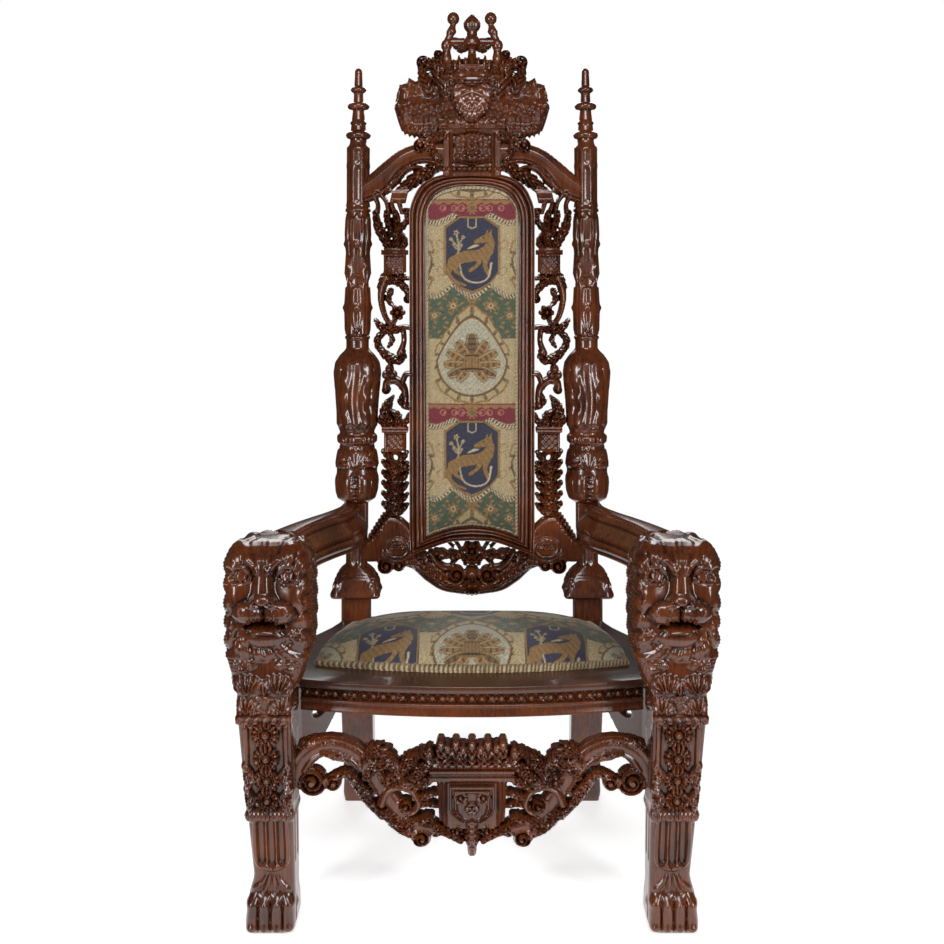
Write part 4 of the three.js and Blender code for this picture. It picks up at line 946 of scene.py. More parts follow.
# the third scroll
strip.stem([(138, 1036), (152, 1034), (160, 1018), (164, 1004)], [6, 7, 7, 5], 12, 36)
strip.stem([(198, 1000), (196, 1016), (178, 1022), (160, 1008), (153, 986), (154, 962)],
           [7, 9, 10, 9, 7, 7], 14, 42, 3)
strip.whorl(197, 1000, 10, 16, 42, hand=-1)
strip.leaf([(138, 960), (152, 962), (164, 974), (160, 990)], [7, 9, 9, 4], 14, 40, 4)
strip.leaf([(186, 924), (200, 946), (194, 966), (182, 984)], [12, 14, 12, 4], 14, 42, 6)
strip.leaf([(170, 922), (172, 940), (184, 950)], [10, 10, 5], 14, 42, 4)
strip.leaf([(160, 918), (150, 930), (146, 944)], [8, 8, 4], 14, 38, 3)
strip.leaf([(196, 918), (210, 930), (208, 944)], [9, 9, 4], 14, 38, 3)
strip_block(914, 862, 177, 25)
# the column of leaves: pairs that curl away from a middle stem
strip.stem([(177, 862), (179, 800), (181, 714)], [14, 15, 20], 14, 32)
for k in range(6):
    foot = 862 - 24 * k
    half = 1 - 0.05 * k
    strip.leaf([(176, foot - 22), (192, foot - 14), (206, foot - 2)], [9, 11 * half, 5], 14, 42, 3)
    strip.leaf([(182, foot - 26), (164, foot - 20), (150, foot - 6)], [9, 11 * half, 5], 14, 40, 3)
    strip.ball(178, foot - 10, 7, 20, 44)
strip.pierce(7 - np.hypot((su - 176) * 1.2, (sz - 846) * 0.8))
strip.leaf([(140, 822), (152, 820), (166, 832)], [6, 8, 5], 12, 36, 3)
strip_skin = strip.skin(leaning(40))
set_pair("pierced_strip", "carved", *strip_skin)


# ---- Lower back rail ----
# A scrolled rail between the posts under the upholstery: carved shoulders with a shell on each, and an open
# middle of crossing stems, buds and leaves over a deep scrolled arm.
rail = Board(-260, 260, 524, 716, 2.0, twin=True)
ru, rz = rail.u, rail.z
shoulder_top = np.interp(ru, [100, 118, 128, 146, 160, 176, 190, 202, 214, 226, 240, 262],
                         [620, 636, 660, 690, 703, 712, 714, 702, 684, 668, 657, 652])
shoulder_top += 3 * np.abs(np.sin(np.pi * ru / 8)) * rise(ru, 190, 196) * (1 - rise(ru, 230, 236))
shoulder_low = np.interp(ru, [100, 118, 140, 158, 172, 190, 214, 240, 262],
                         [588, 598, 612, 622, 622, 612, 606, 606, 612])
shoulder_form = np.minimum(shoulder_top - rz, rz - shoulder_low) * 0.8
rail.add(np.minimum(shoulder_form, ru - 104), np.interp(shoulder_form, [0, 3, 10, 30], [26, 33, 36, 38]))
shell_away = np.hypot((ru - 172) / 40, (rz - 640) / 34)
shell_height = 34 + 12 * np.sqrt(np.clip(1 - shell_away**2, 0, 1))
shell_height -= 4 * np.exp(-(((shell_away - 0.8) / 0.07) ** 2))
shell_height -= 3 * np.exp(-(((shell_away - 0.55) / 0.06) ** 2))
rail.add(36 * (1 - shell_away), shell_height)
rail.palmette(172, 640, 22, 38, 50, 7, 90, 100)
for tuft in range(7):
    across, down = 6 * tuft, 8 * tuft
    tuft_line = [(190 + across, 700 - down), (199 + across, 706 - down), (205 + 5.5 * tuft, 716 - 8.5 * tuft)]
    rail.leaf(tuft_line, [6, 6, 3], 16, 40, 2, 0.2)
rail.leaf([(130, 654), (124, 628), (112, 606)], [9, 12, 8], 24, 46, 5)
rail.whorl(199, 598, 19, 24, 46, hand=-1)
rail.whorl(168, 598, 13, 24, 44, hand=1)
rail.stem([(184, 612), (184, 600)], [6, 8], 18, 34)
rail.pierce(1 - np.hypot((ru - 171) / 11, (rz - 617) / 5))
# the arm down to the middle, with leaf cuts along it
rail.stem([(150, 606), (124, 602), (96, 582), (66, 560), (36, 550), (0, 548)], [12, 20, 24, 22, 18, 20], 18,
          40, 4)
rail.leaf([(140, 606), (108, 590), (72, 566), (40, 554)], [8, 14, 14, 8], 30, 46, 9)
rail.whorl(37, 577, 19, 26, 48, hand=-1, turns=1.6)
rail.palmette(0, 560, 34, 20, 46, 9, -90, 80)
rail.ball(0, 579, 17, 26, 50)
rail.stem([(96, 626), (84, 606), (66, 592), (48, 592)], [7, 8, 8, 6], 16, 38, 2)
rail.leaf([(96, 614), (82, 628), (64, 626)], [6, 8, 6], 16, 40, 3)
rail.ball(70, 622, 13, 18, 42)
rail.leaf([(62, 618), (46, 624), (30, 616)], [8, 10, 6], 16, 40, 4)
rail.ball(44, 616, 9, 20, 42)
rail.blossom(0, 632, 17, 20, 46, 5)
rail.leaf([(0, 612), (0, 604), (0, 596)], [12, 12, 6], 18, 42, 2)
rail.leaf([(6, 606), (20, 614), (32, 626)], [7, 8, 4], 16, 40, 3)
rail.stem([(46, 600), (28, 618), (10, 652), (4, 664)], [5, 4, 4, 4], 12, 30)
rail.stem([(16, 600), (26, 630), (46, 664), (50, 672)], [5, 4, 4, 4], 12, 30)
rail.stem([(44, 638), (58, 654), (66, 668)], [3, 4, 3], 12, 28)
frame_low_edge = np.interp(ru, [0, 44, 76, 107, 144, 160], [656, 654, 648, 629, 622, 622])
under_frame = (ru < 145) & (rz > frame_low_edge)
rail.inside = np.where(under_frame, np.minimum(rail.inside, frame_low_edge - rz + 2), rail.inside)
rail_skin = rail.skin(leaning(44))
set_down("lower_back_rail_carved", "lower_back_rail", *rail_skin, mahogany)


# ---- Front stretcher ----
# A deep pierced stretcher between the front legs: swept arms that end in volutes, acanthus scrolls, and in
# the middle a framed shield under a leafy crown. It is let into the inner sides of the legs.
stretcher = Board(-341, 341, 142, 387, 2.3, twin=True)
tu, tz = stretcher.u, stretcher.z
STRETCHER_BACK = 88
arm = [(344, 302), (330, 334), (300, 358), (268, 364), (232, 352), (200, 318), (170, 268), (138, 224),
       (104, 196), (66, 192)]
stretcher.stem(arm, [30, 24, 20, 19, 20, 20, 20, 19, 17, 12], 16, 32, 0)
for offset in (0.62, -0.62):
    lines = bend(arm, 40)
    heading = np.gradient(lines, axis=0)
    normal = np.stack([-heading[:, 1], heading[:, 0]], -1) / np.linalg.norm(heading, axis=1)[:, None]
    edge_line = (lines + normal * offset * 21)[2:30:4]
    stretcher.stem([tuple(p) for p in edge_line], [5, 5, 4, 4, 4, 3], 26, 35)
stretcher.leaf([(330, 362), (300, 372), (262, 372)], [10, 9, 4], 16, 38, 6)
stretcher.leaf([(290, 350), (266, 344), (240, 334)], [5, 10, 4], 28, 42, 7)
stretcher.whorl(311, 290, 28, 20, 42, hand=1, turns=2.4)
stretcher.whorl(270, 287, 16, 20, 38, hand=-1)
stretcher.leaf([(266, 300), (244, 304), (222, 286), (200, 262)], [8, 11, 12, 10], 16, 36, 6)
stretcher.leaf([(232, 290), (206, 252), (176, 216)], [10, 12, 9], 14, 34, 7)
# acanthus from the arm's shoulder towards the crown
stretcher.leaf([(214, 330), (196, 350), (168, 346), (146, 320)], [10, 16, 17, 10], 18, 40, 7)
stretcher.leaf([(206, 300), (184, 322), (158, 326), (138, 300)], [10, 15, 14, 8], 18, 42, 6)
stretcher.leaf([(168, 290), (146, 306), (122, 330), (106, 344)], [12, 15, 17, 10], 18, 42, 7)
stretcher.leaf([(150, 284), (118, 296), (96, 316), (76, 330)], [10, 14, 17, 10], 18, 42, 7)
stretcher.leaf([(128, 276), (100, 284), (74, 300)], [10, 13, 10], 18, 40, 5)
# the inner scroll with its eye, and the leaves under it
stretcher.stem([(176, 244), (166, 270), (140, 280), (114, 268), (104, 244), (118, 226), (136, 234)],
               [10, 10, 9, 8, 8, 7, 5], 18, 40, 3)
stretcher.whorl(130, 240, 14, 20, 42, hand=-1)
stretcher.leaf([(112, 258), (92, 258), (72, 266)], [9, 10, 6], 16, 38, 4)
stretcher.leaf([(110, 238), (90, 244), (72, 240)], [8, 9, 6], 16, 38, 4)
stretcher.leaf([(176, 226), (148, 208), (120, 208), (80, 216)], [10, 15, 14, 8], 18, 42, 7)
stretcher.leaf([(160, 206), (138, 190), (112, 178)], [8, 11, 10], 18, 40, 6)
stretcher.whorl(98, 173, 18, 20, 44, hand=1)
stretcher.leaf([(84, 184), (66, 182), (56, 196)], [7, 8, 5], 16, 38, 3)
stretcher.leaf([(78, 204), (62, 190), (40, 180), (22, 168)], [8, 10, 11, 8], 18, 42, 6)
stretcher.whorl(30, 190, 14, 20, 42, hand=-1)
stretcher.leaf([(0, 208), (0, 180), (0, 148)], [14, 18, 10], 20, 46, 5)
stretcher.ball(0, 150, 9, 22, 44)
# the panel: fluted sides, the crown's bands, and the shield with a generic flower on it
panel_form = np.minimum(np.interp(tz, [196, 214, 300], [46, 64, 69]) - tu, np.minimum(tz - 198, 312 - tz))
panel_height = 33 + 2.2 * np.cos(2 * np.pi * tu / 9) * (tu > 46)
stretcher.add(panel_form, panel_height)
stretcher.add(np.minimum(78 - tu, np.minimum(tz - 296, 326 - tz)),
              np.interp(tz, [296, 298, 303, 305, 309, 311, 317, 319, 324, 326],
                        [36, 43, 43, 38, 38, 44, 44, 39, 46, 40]))
shield_edge = np.minimum(np.interp(tz, [206, 214, 226, 240, 286], [6, 26, 40, 44, 44]) - tu, 286 - tz)
stretcher.add(shield_edge, np.interp(shield_edge, [0, 1, 4, 5.5, 9, 10.5, 13, 16],
                                     [34, 44, 44, 38, 38, 43, 43, 36]))
for flower_x, flower_z in ((0, 238), (22, 262)):
    stretcher.blossom(flower_x, flower_z, 14, 36, 45, 5)
CROWN_LOBES = ((0, 366, 13), (17, 357, 12), (31, 366, 13), (47, 359, 12), (60, 366, 13), (82, 352, 12))
for lobe_x, lobe_z, lobe_r in CROWN_LOBES:
    stretcher.leaf([(lobe_x * 0.96, 326), (lobe_x, 344), (lobe_x, lobe_z + 6)], [10, 13, lobe_r - 4], 22,
                   46, 3)
    stretcher.ball(lobe_x, lobe_z, lobe_r - 3, 26, 47)
stretcher.leaf([(70, 330), (92, 348), (108, 344)], [10, 12, 6], 20, 44, 4)
for hole_x in (11, 38, 62):
    stretcher.pierce(4.5 - np.hypot(tu - hole_x, (tz - 341) * 1.1))


def stretcher_depth(x, z, height):
    """Places on the stretcher, whose flat back stands upright behind its carving."""
    return np.stack([x, STRETCHER_BACK - height, z], axis=-1)


set_down("front_stretcher_carved", "front_stretcher", *stretcher.skin(stretcher_depth), mahogany)


# ---- Armrests ----
# Each arm is a heavy S-shaped timber from the post's front to the back of the lion's head, rounded on top,
# with a cove and two beads run along its inner side. It is joined to both with dowels that don't show.
ARM_LINE = [  # outer x and depth, inner x and depth
    (302, 567, 240, 561), (307, 520, 247, 510), (330, 462, 262, 450), (362, 396, 293, 390),
    (394, 325, 322, 320),
    (424, 246, 340, 246), (441, 190, 345, 190), (446, 149.3, 345, 149.3),
]
ARM_SECTION = [  # share from the outer side to the inner one, and height
    (0.3, 655), (0.1, 656), (0.03, 662), (0, 680), (0, 712), (0.01, 728), (0.05, 738), (0.14, 744),
    (0.3, 746),
    (0.5, 744), (0.64, 740), (0.72, 735), (0.755, 729), (0.74, 724), (0.76, 720), (0.82, 713), (0.9, 703),
    (0.95, 697),
    (0.965, 691), (0.945, 687), (0.96, 683), (0.99, 679), (1, 673), (0.985, 667), (0.955, 665), (0.965, 661),
    (0.95, 656), (0.9, 655), (0.6, 655),
]


def outward(places, faces):
    """Turns every face round if the piece's volume, summed over its faces as thin pyramids, comes out
    negative."""
    flat = places.reshape(-1, 3)
    quads = np.array([face for face in faces if len(face) == 4])
    a, b, c, d = (flat[quads[:, k]] for k in range(4))
    volume = np.einsum("ij,ij->", a, np.cross(b, c)) + np.einsum("ij,ij->", a, np.cross(c, d))
    for face in faces:
        if len(face) > 4:
            fan_a = flat[face[0]]
            ring = flat[face[1:]]
            volume += np.einsum("j,ij->", fan_a, np.cross(ring[:-1], ring[1:]))
    return faces if volume > 0 else [face[::-1] for face in faces]


arm_rows = bend(ARM_LINE, 70)[:, None, :]
arm_share, arm_z = np.array(ARM_SECTION).T[:, None, :]
arm_places = np.stack([arm_rows[..., 0] + (arm_rows[..., 2] - arm_rows[..., 0]) * arm_share,
                       arm_rows[..., 1] + (arm_rows[..., 3] - arm_rows[..., 1]) * arm_share,
                       arm_z + 0 * arm_rows[..., 0]], axis=-1)
arm_faces = outward(arm_places, tube_faces(*arm_places.shape[:2]))
# Painted shade in the cove and in the two grooves beside the beads on the arm's inner side.
arm_groove_shade = np.zeros(arm_places.shape[:2])
arm_groove_shade[:, [13, 19, 24]] = 0.8
set_pair("armrest", "shaped", arm_places, arm_faces, arm_groove_shade)


# ---- Seat board, side rails, rear rail and back board ----
# Plain planed boards with eased edges: the seat's bowed board, the rails it lies on, and the panel that
# closes the back behind the upholstery. They are glued and screwed from below, so nothing shows.

def eased(name, node, radius, material):
    """The CAD node's own shape with its doubles merged, its flat faces joined and its edges rounded to a
    radius."""
    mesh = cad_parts[node].data.copy()
    mesh.name = name
    work = bmesh.new()
    work.from_mesh(mesh)
    bmesh.ops.remove_doubles(work, verts=work.verts, dist=1e-5)
    bmesh.ops.dissolve_limit(work, angle_limit=math.radians(0.5), verts=work.verts, edges=work.edges)
    sharp = [edge for edge in work.edges if edge.calc_face_angle(0) > math.radians(25)]
    bmesh.ops.bevel(work, geom=sharp, offset=radius, segments=3, profile=0.5, affect="EDGES")
    work.to_mesh(mesh)
    work.free()
    mesh.shade_smooth()
    mesh.set_sharp_from_angle(angle=math.radians(35))
    mesh.materials.clear()
    mesh.materials.append(material)
    piece = bpy.data.objects.new(name, mesh)
    bpy.context.collection.objects.link(piece)
    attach(piece, "root")
    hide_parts(node)
    return piece


# The third colour is the near-black of the hollows: partly dark glaze, partly painted shade.
dark_mahogany = polished_wood("dark_mahogany", (0.085, 0.026, 0.010), (0.028, 0.010, 0.005),
                              (0.008, 0.0025, 0.001), 0.30)
eased("seat_board_shaped", "seat_board", 0.0035, dark_mahogany)
eased("side_rail_right_shaped", "side_rail_right", 0.0015, mahogany)
eased("side_rail_left_shaped", "side_rail_left", 0.0015, mahogany)
eased("rear_rail_shaped", "rear_rail", 0.002, mahogany)
eased("back_board_shaped", "back_board", 0.0015, mahogany)


# ---- Front rail ----
# The rail under the board's bowed front edge: a row of coin-like beads, each a ball in a ring, over a plain
# flat band with a small lip. The moulding is run first, and the beads are carved in it.
RAIL_END = 339.7
SEAT_BOW = 44
BEADS = 35
RAIL_SECTION = [  # depth behind the board's front edge, and height
    (30, 459.7), (13, 459.7), (13, 457), (13, 452), (13, 447), (13, 442), (13, 438.5), (6, 437.5), (4, 436),
    (3.5, 433),
    (4.5, 431), (8, 430), (8, 426), (7, 421), (5, 417), (4, 415), (4.5, 412.5), (7, 412), (30, 412),
]


def bowed(x):
    """Depth of the board's front edge, which comes forward as a parabola."""
    return 122 - SEAT_BOW * (1 - (x / 341) ** 2)


rail_x = np.linspace(-RAIL_END, RAIL_END, 480)[:, None]
section = np.array(RAIL_SECTION)
steps = np.r_[0, np.cumsum(np.hypot(*np.diff(section, axis=0).T))]
fine = np.unique(np.r_[steps, np.linspace(17, 39, 16)])
rail_in = np.interp(fine, steps, section[:, 0])[None, :] + 0 * rail_x
rail_z = np.interp(fine, steps, section[:, 1])[None, :] + 0 * rail_x
pitch = 2 * (RAIL_END - 12) / (BEADS - 1)
bead_x = rail_x - pitch * np.round(rail_x / pitch)
bead_away = np.hypot(bead_x, rail_z - 448.5)
bead = 9.5 * np.sqrt(np.clip(1 - (bead_away / 6.6) ** 2, 0, 1))
bead = bead + 5 * np.exp(-(((bead_away - 8.4) / 1.2) ** 2))
bead_lift = np.where((rail_z > 438.4) & (rail_z < 457.5) & (rail_in > 10), bead, 0)
front_rail_places = np.stack([rail_x + 0 * rail_z, bowed(rail_x) + rail_in - bead_lift, rail_z], axis=-1)
front_rail_faces = outward(front_rail_places, tube_faces(*rail_z.shape))
# Painted shade round each bead and on the flat band between the beads.
shade_between_beads = (rail_in > 10) & (bead_lift < 1) & (rail_z > 437)
front_rail_shade = np.clip(0.9 * hollowness(bead_lift, 2, 4) + 0.5 * shade_between_beads, 0, 1)
set_down("front_rail_carved", "front_rail", front_rail_places, front_rail_faces, front_rail_shade, mahogany)


# ---- Side aprons ----
# Under each side rail hangs a pierced apron with a wavy lower edge, carved with scrolling leaves on its
# outer face and left plain inside. It is cut from an 18 mm board that follows the seat's splayed side.
# x and depth of the seat's side
SEAT_SIDE = [(442, 133), (436, 180), (422, 240), (396, 312), (347, 414), (318, 472), (303, 524)]
side_curve_x, side_curve_depth = np.array(SEAT_SIDE).T
apron = Board(133.5, 523.5, 224, 398, 2.6)
au, az = apron.u, apron.z
apron_low = np.interp(au, [134, 170, 206, 250, 292, 336, 392, 420, 452, 478, 523],
                      [232, 228, 252, 236, 258, 240, 244, 276, 290, 342, 376])
apron_low += 3 * np.cos(au / 7)
apron_form = np.minimum(np.minimum(397.6 - az, az - apron_low), np.minimum(au - 133, 524 - au))
apron.add(apron_form, 10 + 2 * np.cos(az / 9) * np.cos(au / 11))
apron.add(np.minimum(397.6 - az, az - 384), 16)
for foot, top, tip in ((150, 380, 200), (262, 384, 206), (300, 384, 350), (410, 384, 352), (436, 384, 476)):
    tip_z = 300 if tip < 470 else 366
    apron.leaf([(foot, top), ((foot + tip) / 2, top - 60), (tip, tip_z)], [14, 24, 8], 9, 18, 5)
apron.whorl(210, 262, 18, 8, 18)
apron.whorl(340, 254, 20, 8, 18, hand=-1)
APRON_HOLES = ((228, 322, 20, 10), (376, 318, 20, 11), (160, 268, 9, 16), (286, 300, 7, 18))
for hole_y, hole_z, hole_a, hole_b in APRON_HOLES:
    apron.pierce(hole_b * (1 - np.hypot((au - hole_y) / hole_a, (az - hole_z) / hole_b)))


def apron_depth(depth, z, height):
    """Places on the apron, which follows the seat's side in plan and stands out by the carving's height."""
    side = np.interp(depth, side_curve_depth, side_curve_x)
    return np.stack([side - 30 + height, depth, z], axis=-1)


# The skin brings painted shade for the carving's hollows and the board's back.
apron_places, apron_faces, apron_hollow_shade = apron.skin(apron_depth)
apron_faces = outward(apron_places, apron_faces)
set_pair("side_apron", "carved", apron_places, apron_faces, apron_hollow_shade)


# ---- Back frame ----
# The upholstery's frame is one arched moulding with mitred lower corners: an outer bead, a cove, two reeds
# and a bead against the cloth, polished like the rest.
# outer x and z, inner x and z
FRAME_FOOT = [(0, 657, 0, 689), (50, 654, 46, 684), (100, 638, 86, 672), (144, 622, 108, 662)]
FRAME_ARCH = [(143, 1371, 109, 1371), (142, 1405, 107, 1399), (135, 1430, 100, 1421), (121, 1456, 87, 1440),
              (98, 1475, 66, 1453), (58, 1487, 36, 1461), (0, 1490, 0, 1463)]
frame_side = bend([FRAME_FOOT[-1], (143.6, 900, 108, 900), FRAME_ARCH[0]], 10)[1:-1]
right_run = np.vstack([bend(FRAME_FOOT, 24), frame_side, bend(FRAME_ARCH, 60)])
left_run = right_run[1:-1][::-1] * (-1, 1, -1, 1)
frame_run = np.vstack([right_run, left_run])[:, None, :]
across = np.linspace(0, 1, 49)
reeds = 6 + 5 * across + 4.5 * (1 - np.abs(np.sin(np.pi * (across * 4 + 0.5))) ** 0.5) * (across < 0.995)
reeds += 5 * np.exp(-(((across - 0.33) / 0.09) ** 2))
frame_share = np.r_[0, across, 1][None, :]
frame_depth = np.r_[48, reeds, 48][None, :]
frame_x = frame_run[..., 0] + (frame_run[..., 2] - frame_run[..., 0]) * frame_share
frame_z = frame_run[..., 1] + (frame_run[..., 3] - frame_run[..., 1]) * frame_share
frame_places = np.stack([frame_x, BACK_FRONT + LEAN * (frame_z - SEAT) + frame_depth, frame_z], axis=-1)


def ring_faces(rows, columns):
    """Faces over a grid whose rows and columns both close on themselves."""
    row, column = np.meshgrid(np.arange(rows), np.arange(columns), indexing="ij")
    next_row, beside = (row + 1) % rows, (column + 1) % columns
    corners = (row * columns + column, row * columns + beside, next_row * columns + beside,
               next_row * columns + column)
    return np.stack(corners, axis=-1).reshape(-1, 4).tolist()


frame_faces = outward(frame_places, ring_faces(*frame_places.shape[:2]))
# Painted shade in the grooves between the reeds, and on the frame's two back edges.
frame_groove_shade = 0 * frame_x + np.r_[0.4, np.clip((reeds - 9 - 5 * across) / 5, 0, 1) * 0.8, 0.6][None, :]
set_down("back_frame_moulded", "back_frame", frame_places, frame_faces, frame_groove_shade, mahogany, crease=60)


# ---- Tapestry ----
# The cloth of the back and the seat is a woven tapestry: shields with a beast between red and green bands
# with dashed edges, and pointed medallions with a leafy border round a palmette. Every figure is worked out
# from lines.
CLOTH = {
    "cream": (0.37, 0.285, 0.155), "pale": (0.46, 0.375, 0.235), "gold": (0.25, 0.145,
                                                                          0.058), "tan": (0.155, 0.095,
                                                                                          0.045),
    "navy": (0.040, 0.040, 0.062), "red": (0.165, 0.030, 0.040), "green": (0.070, 0.095, 0.062),
    "mist": (0.30, 0.30, 0.235), "dark": (0.040, 0.030, 0.028), "pink": (0.36, 0.15, 0.105),
}
COLUMN_GAP = 172  # mm between the middles of neighbouring figures
REPEAT = 461  # mm of cloth after which the figures come again


def dye(colour, thread, amount):
    """Colour with the named thread laid over it where amount goes from 0 to 1."""
    amount = np.clip(amount, 0, 1)[..., None]
    return colour * (1 - amount) + np.array(CLOTH[thread]) * amount


def edge(inside, soft=0.9):
    """1 inside a form, 0 outside it, and a blend over its edge."""
    return np.clip(inside / soft + 0.5, 0, 1)


def line(inside, width, soft=0.9):
    """1 on a line of the given width round a form's edge."""
    return edge(width / 2 - np.abs(inside), soft)


def brush(a, b, points, halves):
    """How far a place lies inside a brush stroke that follows a smooth line."""
    off, along = follow(a, b, points, 10)
    return np.interp(along, np.linspace(0, 1, len(halves)), halves) - np.abs(off)


def nearest(a, b, first_b):
    """Places counted from the nearest figure: even columns hold one at first_b, odd ones half a repeat
    further on."""
    column = np.round(a / COLUMN_GAP)
    shift = np.where(column % 2 == 0, first_b, first_b + REPEAT / 2)
    return a - column * COLUMN_GAP, (b - shift + REPEAT / 2) % REPEAT - REPEAT / 2


def medallion_share(a, b):
    """0 at a medallion's heart and 1 on its edge: round below, and drawn up to a point above."""
    below = np.hypot(a / 79, b / 78)
    above = np.abs(a) / 79 * (1 + 0.25 * np.clip(b / 98, 0, 1)) + 0 * b
    above = (np.clip(above, 0, None) ** 1.8 + np.clip(b / 98, 0, None) ** 1.35) ** (1 / 1.55)
    return np.where(b < 0, below, above)


def draw_beast(colour, a, b):
    """A generic beast that walks with its head turned back, with a plant behind it, on the shield's dark
    ground."""
    gold_parts = (
        ([(-44, -12), (-18, -2), (14, 2), (36, 12)], [11, 13, 12, 13]),
        ([(34, 10), (42, 28), (36, 42)], [13, 10, 8]),
        ([(38, 42), (24, 37), (8, 32)], [9, 8, 4]), ([(40, 46), (45, 60)], [4, 1]),
        ([(33, 46), (35, 58)], [4, 1]),
        ([(34, 2), (30, -20), (38, -42)], [9, 5, 4]), ([(20, -2), (12, -20), (-4, -32)], [8, 4, 4]),
        ([(-44, -14), (-54, -36), (-44, -54), (-14, -66)], [10, 7, 5, 2]),
        ([(-30, -8), (-38, -30), (-22, -44)], [9, 5, 3]),
    )
    beast = np.max([brush(a, b, points, halves) for points, halves in gold_parts], axis=0)
    colour = dye(colour, "dark", edge(beast + 1.6))
    colour = dye(colour, "gold", edge(beast))
    colour = dye(colour, "tan", edge(beast) * (0.5 + 0.5 * np.cos(a / 2.3 + b / 3.1)) * 0.6)
    tail = brush(a, b, [(-28, -18), (-20, -48), (8, -60), (36, -50), (44, -16)], [1.2, 1.6, 1.6, 1.6, 2.4])
    colour = dye(colour, "pale", edge(tail))
    jaw = brush(a, b, [(-10, 16), (4, 22), (14, 24)], [1, 3, 1.6])
    colour = dye(colour, "pale", edge(jaw))
    colour = dye(colour, "dark", edge(2.2 - np.hypot(a - 26, b - 41)))
    stalk = brush(a, b, [(-32, 6), (-30, 26), (-36, 48)], [1.8, 1.8, 1.4])
    for leaf_a, leaf_b, leaf_r in ((-36, 52, 7), (-48, 38, 5), (-20, 42, 5), (-24, 24, 4), (-42, 26, 4)):
        away = np.hypot(a - leaf_a, b - leaf_b)
        star = leaf_r * (0.75 + 0.25 * np.cos(5 * np.arctan2(b - leaf_b, a - leaf_a))) - away
        stalk = np.maximum(stalk, star)
        twig = [(-31, 18), ((leaf_a - 31) / 2, leaf_b - 9), (leaf_a, leaf_b)]
        stalk = np.maximum(stalk, brush(a, b, twig, [1.2, 1.2, 1]))
    return dye(dye(colour, "cream", edge(stalk)), "tan", edge(stalk - 3))


def draw_palmette(colour, a, b, share):
    """Inside a medallion: a misty ground, feathers that spread from an urn, and small pale sprigs."""
    colour = dye(colour, "mist", edge((0.98 - share) * 78))
    speckle = np.cos(a / 1.7) * np.cos(b / 2.1 + np.sin(a / 5))
    colour = dye(colour, "pale", edge((0.95 - share) * 78) * (speckle > 0.1) * 0.7)
    turn = np.degrees(np.arctan2(np.abs(a), b + 12))
    reach = np.hypot(a, b + 12)
    feathers = ((0, 74, 15), (32, 66, 12), (60, 66, 11), (86, 66, 10), (112, 60, 10), (136, 48, 9))
    for aim, length, half in feathers:
        along = reach * np.cos(np.radians(turn - aim))
        off = reach * np.sin(np.radians(turn - aim))
        share_along = np.clip(along / length, 0, 1)
        plume = half * np.sqrt(np.clip(1 - (2 * share_along - 1.1) ** 2 / 1.2, 0, 1)) - np.abs(off)
        plume = np.where((along > 14) & (along < length), plume, -5)
        colour = dye(colour, "dark", edge(plume + 1.2) * 0.8)
        colour = dye(colour, "gold" if aim % 56 else "tan", edge(plume))
        colour = dye(colour, "cream", line(plume - 2.4, 1.6))
        colour = dye(colour, "dark", edge(plume - 5) * (np.cos(reach / 2.0) > 0.4) * 0.7)
    urn = np.interp(b, [-30, -16, 8, 18], [27, 26, 15, 20]) - np.abs(a)
    urn = np.minimum(urn, np.minimum(b + 26, 17 - b))
    colour = dye(colour, "gold", edge(urn))
    colour = dye(colour, "tan", edge(urn) * (np.cos(2 * np.pi * a / 7) > 0.2) * 0.8)
    colour = dye(colour, "dark", edge(2.0 - np.abs(b + 18 + (a / 20) ** 2)) * edge(27 - np.abs(a)))
    colour = dye(colour, "dark", edge(1.6 - np.abs(b - 12 + (a / 16) ** 2)) * edge(15 - np.abs(a)))
    curl = np.cos(a / 5.5) * 3 - 58 - b
    return dye(colour, "pale", line(curl, 2.4) * edge(30 - np.abs(a)))


